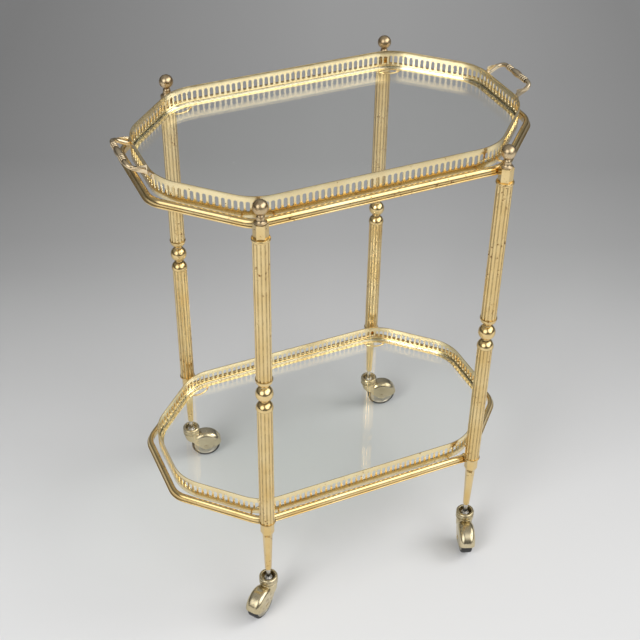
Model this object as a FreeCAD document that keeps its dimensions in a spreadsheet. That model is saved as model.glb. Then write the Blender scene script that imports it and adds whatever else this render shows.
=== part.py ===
import FreeCAD, Part

# Dessert trolley in polished brass: a frame on four turned legs with hooded casters, and two
# glass trays with pierced galleries that rest on wire brackets inside the frame's rims.
# Millimetres, +Z up. The origin is on the floor midway between the legs, X runs along the
# trolley and Y across it. The front long side is at -Y.

import os
import re

import Sketcher
from FreeCAD import Placement, Rotation, Vector

SIZES = [
    # tray outline: a rectangle with its corners cut at 45 degrees and every bend rounded
    ("tray_half_length", 260.0, "centre to the outside of an end wall"),
    ("tray_half_width", 154.5, "centre to the outside of a long wall"),
    ("tray_cut", 92.8, "length that the 45 degree cut takes off each side"),
    ("tray_bend", 68.0, "outside radius of the tray's bends"),
    # gallery and glass
    ("wall", 1.4, "thickness of the gallery strip"),
    ("gallery_height", 30.5, "foot to top of the gallery strip"),
    ("flange_width", 8.0, "width of the turned-in foot that carries the glass"),
    ("flange_thick", 1.6, "thickness of the turned-in foot"),
    ("slot_pitch", 8.1, "distance between slots, rounded to fit each run"),
    ("slot_width", 4.6, "width of a slot"),
    ("slot_height", 13.1, "height of a slot"),
    ("top_band", 7.9, "plain band above the slots"),
    ("glass_thick", 5.0, "thickness of the glass"),
    ("glass_gap", 0.5, "clearance between glass and gallery"),
    # rim and brackets
    ("tray_gap", 5.0, "clearance between tray and rim"),
    ("rim_width", 9.7, "width of the rim section"),
    ("rim_height", 10.3, "height of the rim section"),
    ("rim_bend", 42.0, "outside radius of the rim's bends"),
    ("bead_radius", 1.3, "radius of the bead along the rim's lower edge"),
    ("bead_step", 0.3, "step between the bead and the shoulder above it"),
    ("cove_radius", 6.7, "radius of the rim's rounded shoulder"),
    ("lip_width", 1.5, "width of the lip on top of the rim"),
    ("bracket_radius", 23.3, "radius of a wire bracket's bend"),
    ("bracket_wire", 1.4, "radius of the bracket wire"),
    ("bracket_rise", 0.6, "bottom of the rim to bottom of the wire"),
    ("rest_gap", 0.1, "clearance under a resting tray"),
    ("upper_rim_clear", 6.0, "bottom of the upper collar's flats to the upper rim"),
    ("lower_rim_clear", 5.5, "bottom of the lower collar's flats to the lower rim"),
    # leg stations
    ("leg_bearing", 13.6, "degrees from the Y axis to a leg, about the rim bend's centre"),
    ("collar_seat", 0.4, "depth that a collar is let into the rim"),
    ("facing", 67.5, "degrees from the X axis to a collar's outward flat"),
    # leg pieces, from the bottom up
    ("foot_flats", 8.6, "across flats at the foot's lower end"),
    ("ankle_flats", 12.6, "across flats where the taper meets the collar"),
    ("taper_length", 73.0, "length of the tapered foot"),
    ("chamfer_length", 7.0, "length of the cone under the lower collar"),
    ("collar_flats", 17.4, "across flats of both hexagonal collars"),
    ("lower_collar_height", 20.0, "length of the lower collar's flats"),
    ("upper_collar_height", 20.5, "length of the upper collar's flats"),
    ("ring_radius", 12.2, "radius of the rings beside the columns"),
    ("lower_ring_height", 2.5, "height of the ring under the lower column"),
    ("upper_ring_height", 4.5, "height of the ring over the upper column"),
    ("column_radius", 11.0, "outside radius of a fluted column"),
    ("column_bore", 8.6, "inside radius of a column"),
    ("column_length", 214.5, "length of a column"),
    ("flute_count", 12, "flutes round a column"),
    ("flute_depth", 0.7, "depth of a flute"),
    ("flute_radius", 4.0, "radius of a flute's hollow"),
    ("spigot_length", 5.0, "length of the spigots that centre the columns"),
    ("spigot_gap", 0.2, "radial clearance of a spigot in a column"),
    ("knop_height", 52.0, "length of the turned knop between the columns"),
    ("knop_ball", 12.2, "radius of the knop's ball"),
    ("knop_dome", 12.0, "radius of the knop's two domes"),
    ("knop_neck", 5.4, "radius of the knop's necks"),
    ("dome_edge", 0.9, "height of a dome's straight edge"),
    ("finial_ball", 9.8, "radius of the finial's ball"),
    ("finial_skirt", 8.3, "radius of the finial's skirt"),
    ("finial_waist", 5.4, "radius of the bulge above the skirt"),
    ("finial_neck", 3.2, "radius of the finial's neck"),
    ("skirt_edge", 1.2, "height of the skirt's straight edge"),
    ("skirt_rise", 5.8, "height of the skirt's flare"),
    ("waist_rise", 4.8, "height of the bulge up to the neck"),
    ("flare_share", 3.6, "the flare's spread over what is left of it at half its height"),
    ("rod_radius", 2.5, "radius of the tie rod inside a leg"),
    ("rod_gap", 0.3, "radial clearance round the tie rod"),
    ("rod_grip", 12.0, "length of the tie rod in the foot"),
    ("finial_grip", 6.0, "length of the tie rod in the finial"),
    ("drill_point", 1.0, "depth of a blind hole beyond what fills it"),
    ("screw_radius", 1.5, "radius of a rim screw's shank"),
    ("screw_head_radius", 3.0, "radius of a rim screw's head"),
    ("screw_head_height", 1.6, "height of a rim screw's head"),
    ("screw_rise", 6.2, "bottom of the rim to the axis of a rim screw"),
    ("spot_face", 0.3, "depth of the flat cut for a screw's head"),
    ("screw_bite", 4.5, "length of a rim screw in the collar"),
    # casters, in a side view whose x runs along the trail
    ("trail", 23.1, "horizontal distance from the swivel axis to the axle"),
    ("tyre_radius", 23.8, "outside radius of the tyre"),
    ("tyre_width", 15.0, "width of the tyre"),
    ("tyre_round", 3.2, "radius of the tyre's shoulders"),
    ("hub_radius", 19.8, "radius of the wheel's metal centre"),
    ("hub_width", 17.4, "width of the wheel's metal centre"),
    ("hub_dish", 2.4, "depth of the dish in the wheel's side"),
    ("hub_boss", 6.5, "radius of the boss round the wheel's bore"),
    ("boss_gap", 0.4, "clearance between the wheel's boss and a cheek"),
    ("axle_radius", 2.5, "radius of the axle"),
    ("running_gap", 0.06, "radial clearance of the axle and of the king pin"),
    ("axle_head_radius", 3.8, "radius of an axle's riveted head"),
    ("axle_head_height", 1.3, "height of an axle's riveted head"),
    ("hood_radius", 26.6, "outside radius of the hood"),
    ("hood_width", 25.4, "width of the hood"),
    ("hood_round", 8.6, "radius of the hood's shoulders"),
    ("cheek", 2.2, "thickness of the hood's cheeks"),
    ("tyre_gap", 1.0, "clearance between tyre and hood"),
    ("cavity_round", 6.6, "radius of the shoulders inside the hood"),
    ("axle_boss", 7.2, "radius of the cheek round the axle"),
    ("cheek_tip", 3.4, "axle up to the tip of the cheek's lower edge"),
    ("cheek_front", 16.2, "axle to the straight front edge of the cheek"),
    ("cheek_rise", 4.0, "axle up to the foot of that edge"),
    ("neck_radius", 12.9, "radius of the neck under the cup"),
    ("neck_front", 12.2, "radius of the neck's rounded front, seen from the side"),
    ("neck_edge", 1.6, "swivel axis to the foot of the neck's rounded front"),
    ("cup_bottom", 48.8, "floor to the bead under the cup"),
    ("cup_radius", 14.0, "outside radius of the cup"),
    ("cup_height", 13.2, "height of the cup"),
    ("bead_height", 1.8, "height of the bead under the cup"),
    ("cup_groove", 0.9, "depth and height of the groove above the bead"),
    ("cup_round", 3.0, "radius of the cup's upper edge"),
    ("cup_bore", 9.6, "radius of the hollow in the cup"),
    ("cup_depth", 9.5, "depth of the hollow in the cup"),
    ("pin_radius", 4.0, "radius of the king pin"),
    ("pin_length", 10.0, "length of the king pin in the neck"),
    ("thrust_gap", 0.3, "axial clearance under the nut"),
    ("nut_flats", 11.5, "across flats of the nut in the cup"),
    ("nut_height", 5.5, "height of the nut in the cup"),
    ("stem_radius", 3.3, "radius of the steel stem above the nut"),
    ("stem_length", 18.2, "length of bare stem between nut and foot"),
    ("stem_grip", 16.0, "length of the stem inside the foot"),
    ("front_left_trail", -144.4, "degrees from the X axis to this caster's trail"),
    ("front_right_trail", -111.4, "degrees from the X axis to this caster's trail"),
    ("back_right_trail", -15.0, "degrees from the X axis to this caster's trail"),
    ("back_left_trail", -15.9, "degrees from the X axis to this caster's trail"),
    # handles, in a plane that rises outwards from the tray's end wall
    ("handle_drop", 5.4, "top of the gallery down to the handle's feet"),
    ("handle_rise", 27.0, "degrees that the handle's plane rises"),
    ("handle_reach", 29.3, "wall to the axis of the grip"),
    ("handle_half", 38.0, "middle of the handle to the axis of an arm"),
    ("handle_bend", 11.0, "radius where an arm turns into the grip"),
    ("foot_bend", 8.0, "radius where an arm turns along the wall"),
    ("tongue", 5.0, "length of the tongue beyond the foot's bend"),
    ("handle_rod", 2.6, "radius of an arm"),
    ("grip_radius", 4.4, "radius of the grip's middle"),
    ("grip_end", 3.2, "radius of the grip beside its rings"),
    ("grip_half", 10.5, "half length of the swelling of the grip"),
    ("bead_swell", 3.7, "radius of the grip's rings"),
    ("grip_bead", 1.5, "half width of a ring of the grip"),
    ("bead_pitch", 4.3, "distance between the grip's rings"),
    ("bead_count", 3, "rings at each end of the grip"),
    ("rivet_radius", 1.0, "radius of a handle rivet's shank"),
    ("rivet_head", 1.8, "radius of a handle rivet's heads"),
    ("rivet_head_height", 0.9, "height of a handle rivet's heads"),
    ("rivet_seat", 1.5, "wall to the flat under a rivet's outer head"),
    ("rivet_clear", 0.05, "clearance of a rivet's inner head, since the wall is curved there"),
    ("rivet_bearing", 12.0, "degrees from the X axis to a rivet, about the bend's centre"),
]

DERIVED = [
    ("side_x", "tray_half_length - tray_cut - tray_bend * tan(22.5)"),
    ("end_y", "tray_half_width - tray_cut - tray_bend * tan(22.5)"),
    ("slant_run", "tray_cut * sqrt(2) - 2 * tray_bend * tan(22.5)"),
    ("slot_centre", "gallery_height - top_band - slot_height / 2"),
    ("rim_offset", "tray_gap + rim_width"),
    ("rim_half_length", "tray_half_length + rim_offset"),
    ("rim_half_width", "tray_half_width + rim_offset"),
    ("rim_cut", "tray_cut + rim_offset * (2 - sqrt(2))"),
    ("rim_side_x", "rim_half_length - rim_cut - rim_bend * tan(22.5)"),
    ("rim_end_y", "rim_half_width - rim_cut - rim_bend * tan(22.5)"),
    ("rim_centre_y", "rim_half_width - rim_bend"),
    ("rim_inside", "rim_bend - rim_width"),
    ("leg_reach", "rim_bend + collar_flats / 2 - collar_seat"),
    ("leg_x", "rim_side_x + leg_reach * sin(leg_bearing)"),
    ("leg_y", "rim_centre_y + leg_reach * cos(leg_bearing)"),
    ("bracket_x", "rim_side_x + rim_inside * sin(leg_bearing)"),
    ("bracket_y", "rim_centre_y + rim_inside * cos(leg_bearing)"),
    ("cup_top", "cup_bottom + cup_height"),
    ("cup_floor", "cup_top - cup_depth"),
    ("nut_z", "cup_floor + thrust_gap"),
    ("foot_z", "nut_z + nut_height + stem_length"),
    ("ankle_z", "foot_z + taper_length"),
    ("lower_collar_z", "ankle_z + chamfer_length"),
    ("lower_ring_z", "lower_collar_z + lower_collar_height"),
    ("lower_column_z", "lower_ring_z + lower_ring_height"),
    ("knop_z", "lower_column_z + column_length"),
    ("upper_column_z", "knop_z + knop_height"),
    ("upper_ring_z", "upper_column_z + column_length"),
    ("upper_collar_z", "upper_ring_z + upper_ring_height"),
    ("finial_z", "upper_collar_z + upper_collar_height"),
    ("upper_rim_z", "upper_collar_z + upper_rim_clear"),
    ("lower_rim_z", "lower_collar_z + lower_rim_clear"),
    ("tray_rise", "bracket_rise + 2 * bracket_wire + rest_gap"),
    ("handle_z", "upper_rim_z + tray_rise + gallery_height - handle_drop"),
    ("cavity_radius", "tyre_radius + tyre_gap"),
    ("hood_half", "hood_width / 2"),
]

LEGS = {
    "front_left": (-1, -1),
    "front_right": (1, -1),
    "back_right": (1, 1),
    "back_left": (-1, 1),
}
TIERS = {"bottom": "lower_rim_z", "top": "upper_rim_z"}

# how many straight cuts stand for a turned or bent curve, to keep the facets few
BALL_CUTS = 4
DOME_CUTS = 2
SHOULDER_CUTS = 3
BEAD_CUTS = 3
WIRE_CUTS = 6
ROD_CUTS = 8
WORDS = {row[0] for row in SIZES + DERIVED}

doc = FreeCAD.newDocument("dessert_trolley")
dims = doc.addObject("Spreadsheet::Sheet", "dims")
for line, row in enumerate(SIZES + DERIVED, 1):
    dims.set("A%d" % line, row[-1] if len(row) == 3 else "worked out from the sizes above")
    dims.set("B%d" % line, str(row[1]) if len(row) == 3 else "=" + row[1])
    dims.setAlias("B%d" % line, row[0])
doc.recompute()

parts = []


# ---- expressions ----

def ex(text):
    """The expression with every size's name pointing into the spreadsheet."""
    return re.sub("[a-z]+(_[a-z]+)*", lambda m: "dims." + m[0] if m[0] in WORDS else m[0], text)


def value(text):
    return float(dims.evalExpression(ex(text)))


def bind(thing, path, text):
    thing.setExpression(path, ex(text))


def signed(sign, text):
    return "-(%s)" % text if sign < 0 else "(%s)" % text


def place(thing, x="0", y="0", z="0", turn="0"):
    """Puts a thing at x, y, z and turns it about the vertical."""
    angle = value(turn)
    thing.Placement = Placement(Vector(), Rotation(Vector(0, 0, 1), angle))
    if angle:
        bind(thing, "Placement.Rotation.Angle", signed(angle, turn))
        thing.Placement.Rotation.Axis = Vector(0, 0, 1 if angle > 0 else -1)
    for axis, text in zip("xyz", (x, y, z)):
        bind(thing, "Placement.Base." + axis, text)


# ---- sketches ----

def new_sketch(body, plane, x="0", y="0", z="0", axis=None, angle="0"):
    """A sketch on an origin plane of the body; x, y, z and the axis are in that plane's frame."""
    sketch = body.newObject("Sketcher::SketchObject", body.Name + "_sketch")
    face = next(f for f in body.Origin.OriginFeatures if f.Role == plane + "_Plane")
    sketch.AttachmentSupport = [(face, "")]
    sketch.MapMode = "FlatFace"
    turn = value(angle)
    if turn:
        way = 1 if turn > 0 else -1
        sketch.AttachmentOffset = Placement(Vector(), Rotation(axis * way, abs(turn)))
        bind(sketch, "AttachmentOffset.Rotation.Angle", signed(way, angle))
    for name, text in zip("xyz", (x, y, z)):
        bind(sketch, "AttachmentOffset.Base." + name, text)
    return sketch


def side_sketch(body, x, y, z, bearing):
    """An upright sketch at x, y, z that faces the bearing, in degrees from the X axis."""
    return new_sketch(body, "XZ", x, z, signed(-1, y), Vector(0, 1, 0), bearing + " + 90")


def fix(sketch, kind, geo, point, text):
    """Binds a point's distance from the sketch's origin to an expression."""
    rule = sketch.addConstraint(Sketcher.Constraint(kind, -1, 1, geo, point, value(text)))
    bind(sketch, "Constraints[%d]" % rule, text)


def fix_point(sketch, geo, point, x, y):
    fix(sketch, "DistanceX", geo, point, x)
    fix(sketch, "DistanceY", geo, point, y)


def add_line(sketch, here, there, step):
    geo = sketch.addGeometry(Part.LineSegment(here, there))
    return geo, 1, 2


def add_arc(sketch, here, there, step):
    """An arc about the centre in step, anticlockwise where the way in step is positive."""
    centre = Vector(value(step[2]), value(step[3]))
    first, last = (here, there) if step[4] > 0 else (there, here)
    east = Vector(1, 0, 0)
    angles = [east.getAngle(p - centre) * (1 if p.y >= centre.y else -1) for p in (first, last)]
    round_centre = Part.Circle(centre, Vector(0, 0, 1), (here - centre).Length)
    geo = sketch.addGeometry(Part.ArcOfCircle(round_centre, *angles))
    fix_point(sketch, geo, 3, step[2], step[3])
    return (geo, 1, 2) if step[4] > 0 else (geo, 2, 1)


def draw(sketch, start, *steps, closed=True):
    """Draws lines to (x, y) and arcs to (x, y, centre x, centre y, way).

    A closed outline goes back to its start by a line. An arc's end lies on its circle, so
    only the coordinate that runs along the circle there is fixed.
    """
    here = Vector(value(start[0]), value(start[1]))
    tail = None
    for step in steps + ((start,) if closed else ()):
        there = Vector(value(step[0]), value(step[1]))
        adder = add_line if len(step) == 2 else add_arc
        geo, head, end = adder(sketch, here, there, step)
        if tail is None:
            first = (geo, head)
            fix_point(sketch, geo, head, *start)
        else:
            sketch.addConstraint(Sketcher.Constraint("Coincident", *tail, geo, head))
        tail = (geo, end)
        if step is start:
            sketch.addConstraint(Sketcher.Constraint("Coincident", *tail, *first))
        elif len(step) == 2:
            fix_point(sketch, geo, end, step[0], step[1])
        else:
            arm = there - Vector(value(step[2]), value(step[3]))
            along_x = abs(arm.y) > abs(arm.x)
            fix(sketch, "DistanceX" if along_x else "DistanceY", geo, end, step[1 - along_x])
        here = there


def chords(x, y, radius, start, sweep, count):
    """Points along an arc about x, y: a turned curve is cut in cones to keep its facets few."""
    points = []
    for step in range(count + 1):
        angle = "(%s + (%s) * %d / %d)" % (start, sweep, step, count)
        points.append(("%s + %s * cos(%s)" % (x, radius, angle),
                       "%s + %s * sin(%s)" % (y, radius, angle)))
    return points


def draw_circle(sketch, x, y, radius):
    centre = Vector(value(x), value(y))
    geo = sketch.addGeometry(Part.Circle(centre, Vector(0, 0, 1), value(radius)))
    fix_point(sketch, geo, 3, x, y)
    rule = sketch.addConstraint(Sketcher.Constraint("Radius", geo, value(radius)))
    bind(sketch, "Constraints[%d]" % rule, radius)


def draw_hexagon(sketch, flats):
    """A hexagon round the sketch's origin with one flat facing its +x."""
    half = "%s / 2" % flats
    side = "%s * tan(30) / 2" % flats
    tip = "%s / cos(30) / 2" % flats
    draw(sketch, (half, "-" + side), (half, side), ("0", tip), ("-" + half, side),
         ("-" + half, "-" + side), ("0", "-" + tip))


def front_bends(size, offset):
    """Start, end and centre of the bends along the front half of an outline, from -X to +X.

    The outline is the tray's or the rim's, moved outwards by offset about the same centres.
    """
    radius = "(%s_bend + %s)" % (size, offset)
    slope = radius + " * sqrt(0.5)"
    side = "side_x" if size == "tray" else "rim_side_x"
    end = "end_y" if size == "tray" else "rim_end_y"
    back_x = "(%s_half_length - %s_bend)" % (size, size)
    back_y = "(%s_half_width - %s_bend)" % (size, size)
    near = [(side, "%s + %s" % (back_y, radius)),
            ("%s + %s" % (side, slope), "%s + %s" % (back_y, slope)), (side, back_y)]
    far = [("%s + %s" % (back_x, slope), "%s + %s" % (end, slope)),
           ("%s + %s" % (back_x, radius), end), (back_x, end)]
    right = [[(x, signed(-1, y)) for x, y in bend] for bend in (near, far)]
    left = [[(signed(-1, x), y) for x, y in (b, a, c)] for a, b, c in reversed(right)]
    return left + right


def along(bends):
    """Steps along the bends, each a line to the bend's start and an arc to its end."""
    steps = []
    for start, end, centre in bends:
        steps += [start, end + centre + (1,)]
    return steps


def half_turn(bends):
    return [[(signed(-1, x), signed(-1, y)) for x, y in bend] for bend in bends]


def backwards(bends):
    steps = []
    for start, end, centre in reversed(bends):
        steps += [end, start + centre + (-1,)]
    return steps


def draw_octagon(sketch, size, offset):
    """The whole outline, from the middle of the front side and anticlockwise."""
    bends = front_bends(size, offset)
    order = bends[2:] + half_turn(bends) + bends[:2]
    draw(sketch, ("0", "-(%s_half_width + %s)" % (size, offset)), *along(order))


def draw_half_band(sketch, size, outside, inside):
    """The front half of the band between two offsets of an outline."""
    outer_x = "%s_half_length + %s" % (size, outside)
    inner_x = "%s_half_length + %s" % (size, inside)
    draw(sketch, (signed(-1, outer_x), "0"), *along(front_bends(size, outside)), (outer_x, "0"),
         (inner_x, "0"), *backwards(front_bends(size, inside)), (signed(-1, inner_x), "0"))


# ---- features ----

def new_body(label, x="0", y="0", z="0", turn="0", kept=True):
    body = doc.addObject("PartDesign::Body", label)
    body.Label = label
    place(body, x, y, z, turn)
    if kept:
        parts.append(body)
    return body


def feature(body, kind, sketch):
    made = body.newObject("PartDesign::" + kind, body.Name + "_" + kind.lower())
    made.Profile = sketch
    sketch.Visibility = False
    return made


def pad(body, sketch, length, down=False):
    made = feature(body, "Pad", sketch)
    made.Reversed = down
    bind(made, "Length", length)
    return made


def pocket(body, sketch, length, forward=False, both=False):
    """Cuts against the sketch's normal, or along it with forward, or to both sides."""
    made = feature(body, "Pocket", sketch)
    made.Reversed = forward
    made.Midplane = both
    bind(made, "Length", length)
    return made


def turn_about(body, sketch, kind="Revolution"):
    """Revolves a sketch, or cuts a groove with it, about the sketch's own vertical axis."""
    made = feature(body, kind, sketch)
    made.ReferenceAxis = (sketch, ["V_Axis"])
    made.Angle = 360
    return made


def lathe(body, start, *steps, kind="Revolution"):
    """Turns a profile of radius and height about the body's vertical axis."""
    sketch = new_sketch(body, "XZ")
    draw(sketch, start, *steps)
    return turn_about(body, sketch, kind)


def bore(body, z, radius, depth, down=True):
    """A round hole along the body's vertical axis, downwards or upwards from z."""
    sketch = new_sketch(body, "XY", z=z)
    draw_circle(sketch, "0", "0", radius)
    return pocket(body, sketch, depth, forward=not down)


def repeat(body, kind, original, **settings):
    """A pattern of one feature, which becomes the tip of its body."""
    made = body.newObject("PartDesign::" + kind, body.Name + "_" + kind.lower())
    made.Originals = [original]
    for name, setting in settings.items():
        if isinstance(setting, str):
            bind(made, name, setting)
        else:
            setattr(made, name, setting)
    body.Tip = made
    return made


def group(label, members):
    """Separate solids that share one node."""
    made = doc.addObject("Part::Compound", label)
    made.Label = label
    made.Links = members
    parts.append(made)
    return made


# ---- legs ----

def flat_turn(sx, sy):
    """The turn that sets one flat of a leg's hexagons facing outwards."""
    return signed(sy, "facing" if sx > 0 else "180 - facing")


def at_leg(leg):
    sx, sy = LEGS[leg]
    return dict(x=signed(sx, "leg_x"), y=signed(sy, "leg_y"), turn=flat_turn(sx, sy))


def drill_for_screw(body, leg, rim_z, body_z):
    """The hole in a collar for the screw that comes through the rim."""
    sx, sy = LEGS[leg]
    inwards = signed(sx * sy, "90 - leg_bearing - facing") + " + 180"
    height = "%s + screw_rise - (%s)" % (rim_z, body_z)
    sketch = side_sketch(body, "0", "0", height, inwards)
    draw_circle(sketch, "0", "0", "screw_radius")
    shift_along(sketch, inwards, "leg_reach - rim_bend - screw_bite")
    pocket(body, sketch, "collar_flats", forward=True)


def shift_along(sketch, bearing, distance):
    """Moves an upright sketch at its body's axis along the bearing that it faces."""
    bind(sketch, "AttachmentOffset.Base.x", "(%s) * cos(%s)" % (distance, bearing))
    bind(sketch, "AttachmentOffset.Base.z", "-(%s) * sin(%s)" % (distance, bearing))


def hexagon_bar(body, z, flats, length):
    sketch = new_sketch(body, "XY", z=z)
    draw_hexagon(sketch, flats)
    return pad(body, sketch, length)


def ring_and_spigot(body, z, ring_height, spigot_z, way):
    """A turned ring, and beyond it the spigot that centres a column."""
    lathe(body, ("0", z), ("ring_radius", z), ("ring_radius", "%s + %s" % (z, ring_height)),
          ("0", "%s + %s" % (z, ring_height)))
    sketch = new_sketch(body, "XY", z=spigot_z)
    draw_circle(sketch, "0", "0", "column_bore - spigot_gap")
    pad(body, sketch, "spigot_length", down=way < 0)


def make_foot(leg):
    """A tapered hexagonal foot, with the lower collar and ring above it, in one piece."""
    body = new_body(leg + "_foot", z="foot_z", **at_leg(leg))
    low = new_sketch(body, "XY")
    draw_hexagon(low, "foot_flats")
    high = new_sketch(body, "XY", z="taper_length")
    draw_hexagon(high, "ankle_flats")
    taper = feature(body, "AdditiveLoft", low)
    taper.Sections = [high]
    taper.Ruled = True
    hexagon_bar(body, "taper_length", "collar_flats", "chamfer_length + lower_collar_height")
    corner = "collar_flats / cos(30) / 2"
    ankle = "ankle_flats / cos(30) / 2"
    outside = corner + " + chamfer_length"
    lathe(body, (ankle, "taper_length"), (outside, "taper_length"),
          (outside, "taper_length + chamfer_length"), (corner, "taper_length + chamfer_length"),
          kind="Groove")
    ring = "taper_length + chamfer_length + lower_collar_height"
    top = ring + " + lower_ring_height"
    ring_and_spigot(body, ring, "lower_ring_height", top, 1)
    drill_for_screw(body, leg, "lower_rim_z", "foot_z")
    bore(body, "0", "stem_radius", "stem_grip + drill_point", down=False)
    bore(body, top + " + spigot_length", "rod_radius", "rod_grip + spigot_length + drill_point")


def make_column(leg, name, z):
    """A tube with hollow flutes along its whole length."""
    body = new_body("%s_%s_column" % (leg, name), z=z, **at_leg(leg))
    sketch = new_sketch(body, "XY")
    draw_circle(sketch, "0", "0", "column_radius")
    draw_circle(sketch, "0", "0", "column_bore")
    pad(body, sketch, "column_length")
    hollow = new_sketch(body, "XY")
    draw_circle(hollow, "column_radius + flute_radius - flute_depth", "0", "flute_radius")
    flute = pocket(body, hollow, "column_length", forward=True)
    axis = next(f for f in body.Origin.OriginFeatures if f.Role == "Z_Axis")
    repeat(body, "PolarPattern", flute, Axis=(axis, [""]), Angle=360, Occurrences="flute_count")


def make_knop(leg):
    """A ball between two domes, with spigots that centre the columns above and below."""
    body = new_body(leg + "_knop", z="knop_z", **at_leg(leg))
    spigot = "column_bore - spigot_gap"
    hole = "rod_radius + rod_gap"
    dome_end = "(acos(knop_neck / knop_dome) / 1deg)"
    ball_end = "(acos(knop_neck / knop_ball) / 1deg)"
    low_dome = chords("0", "dome_edge", "knop_dome", "0", dome_end, DOME_CUTS)
    ball = chords("0", "knop_height / 2", "knop_ball", "-" + ball_end, "2 * " + ball_end,
                  BALL_CUTS)
    high_dome = chords("0", "knop_height - dome_edge", "knop_dome", "-" + dome_end, dome_end,
                       DOME_CUTS)
    lathe(body, (hole, "-spigot_length"), (spigot, "-spigot_length"), (spigot, "0"),
          ("knop_dome", "0"), *low_dome, *ball, *high_dome, ("knop_dome", "knop_height"),
          (spigot, "knop_height"), (spigot, "knop_height + spigot_length"),
          (hole, "knop_height + spigot_length"))


def make_top_collar(leg):
    """The hexagonal collar that the upper rim is screwed to, with a ring under it."""
    body = new_body(leg + "_top_collar", z="upper_ring_z", **at_leg(leg))
    hexagon_bar(body, "upper_ring_height", "collar_flats", "upper_collar_height")
    ring_and_spigot(body, "0", "upper_ring_height", "0", -1)
    drill_for_screw(body, leg, "upper_rim_z", "upper_ring_z")
    length = "spigot_length + upper_ring_height + upper_collar_height"
    bore(body, "-spigot_length", "rod_radius + rod_gap", length, down=False)


def make_finial(leg):
    """A ball on a waisted neck that flares to a skirt."""
    body = new_body(leg + "_finial", z="finial_z", **at_leg(leg))
    flare = "skirt_edge + skirt_rise"
    neck = flare + " + waist_rise"
    flare_x = "finial_waist + (finial_skirt - finial_waist) / flare_share"
    flare_z = "skirt_edge + skirt_rise / 2"
    bulge_x = "finial_neck + (finial_waist - finial_neck) * (1 - 1 / flare_share)"
    ball_end = "(acos(finial_neck / finial_ball) / 1deg)"
    ball_z = "(%s + sqrt(finial_ball ^ 2 - finial_neck ^ 2))" % neck
    ball = chords("0", ball_z, "finial_ball", "-" + ball_end, "90 + " + ball_end, BALL_CUTS)
    lathe(body, ("0", "0"), ("finial_skirt", "0"), ("finial_skirt", "skirt_edge"),
          (flare_x, flare_z), ("finial_waist", flare), (bulge_x, flare + " + waist_rise / 2"),
          *ball[:-1], ("0", ball_z + " + finial_ball"))
    bore(body, "0", "rod_radius", "finial_grip + drill_point", down=False)


def make_stem(leg):
    """The steel king pin, nut and stem that join a foot to its caster."""
    body = new_body(leg + "_caster_stem", z="nut_z", **at_leg(leg))
    hexagon_bar(body, "0", "nut_flats", "nut_height")
    top = "nut_height + stem_length + stem_grip"
    low = "-thrust_gap - pin_length"
    lathe(body, ("0", low), ("pin_radius", low), ("pin_radius", "0"), ("stem_radius", "0"),
          ("stem_radius", top), ("0", top))


def make_tie_rods():
    """Rods from the feet through the columns to the finials, which clamp each leg."""
    rods = []
    for leg in LEGS:
        where = at_leg(leg)
        rod = doc.addObject("Part::Cylinder", leg + "_rod")
        bind(rod, "Radius", "rod_radius")
        bind(rod, "Height", "finial_z + finial_grip - lower_column_z + rod_grip")
        place(rod, where["x"], where["y"], "lower_column_z - rod_grip")
        rods.append(rod)
    group("tie_rods", rods)


# ---- rims ----

def make_rim(tier, rim_z):
    """A moulded band with a bead below and a rounded shoulder above, notched at the legs."""
    body = new_body(tier + "_rim", z=rim_z)
    path = new_sketch(body, "XY")
    draw_octagon(path, "rim", "-rim_width")
    section = new_sketch(body, "YZ")
    face = "-(rim_half_width - rim_width)"
    bead_x = face + " - rim_width + bead_radius"
    shoulder_x = face + " - lip_width"
    bead_top = "2 * bead_radius + bead_step"
    shoulder = chords(shoulder_x, bead_top, "cove_radius", "90", "90", SHOULDER_CUTS)
    bead = chords(bead_x, "bead_radius", "bead_radius", "90", "180", BEAD_CUTS)
    draw(section, (face, "0"), (face, "rim_height"), (shoulder_x, "rim_height"), *shoulder,
         (bead_x, bead_top), *bead)
    sweep = feature(body, "AdditivePipe", section)
    sweep.Spine = (path, ["Edge%d" % n for n in range(1, path.GeometryCount + 1)])
    for sx, sy in LEGS.values():
        notch = new_sketch(body, "XY", signed(sx, "leg_x"), signed(sy, "leg_y"), "0",
                           Vector(0, 0, 1), flat_turn(sx, sy))
        draw_hexagon(notch, "collar_flats")
        pocket(body, notch, "rim_height", forward=True)
        seat = rim_screw_sketch(body, sx, sy, "screw_head_radius")
        pocket(body, seat, "rim_inside + spot_face", forward=True)
        hole = rim_screw_sketch(body, sx, sy, "screw_radius")
        pocket(body, hole, "rim_bend", forward=True)


def rim_screw_sketch(body, sx, sy, radius):
    """A circle round a rim screw's axis, at the centre of the rim's bend."""
    sketch = side_sketch(body, signed(sx, "rim_side_x"), signed(sy, "rim_centre_y"),
                         "screw_rise", screw_bearing(sx, sy))
    draw_circle(sketch, "0", "0", radius)
    return sketch


def screw_bearing(sx, sy):
    return signed(sy, "90 - %s" % signed(sx, "leg_bearing"))


def make_rim_screws():
    """Round-headed screws from inside each rim into the collars."""
    screws = []
    for tier, rim_z in TIERS.items():
        for leg, (sx, sy) in LEGS.items():
            body = new_body("%s_%s_screw" % (tier, leg), signed(sx, "rim_side_x"),
                            signed(sy, "rim_centre_y"), rim_z + " + screw_rise",
                            screw_bearing(sx, sy), kept=False)
            seat = "rim_inside + spot_face"
            sketch = new_sketch(body, "XY", axis=Vector(0, 0, 1), angle="-90")
            tip = "rim_bend + screw_bite"
            draw(sketch, ("0", "%s - screw_head_height" % seat),
                 ("screw_head_radius", "%s - screw_head_height" % seat),
                 ("screw_head_radius", seat), ("screw_radius", seat), ("screw_radius", tip),
                 ("0", tip))
            turn_about(body, sketch)
            screws.append(body)
    group("rim_screws", screws)


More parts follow.
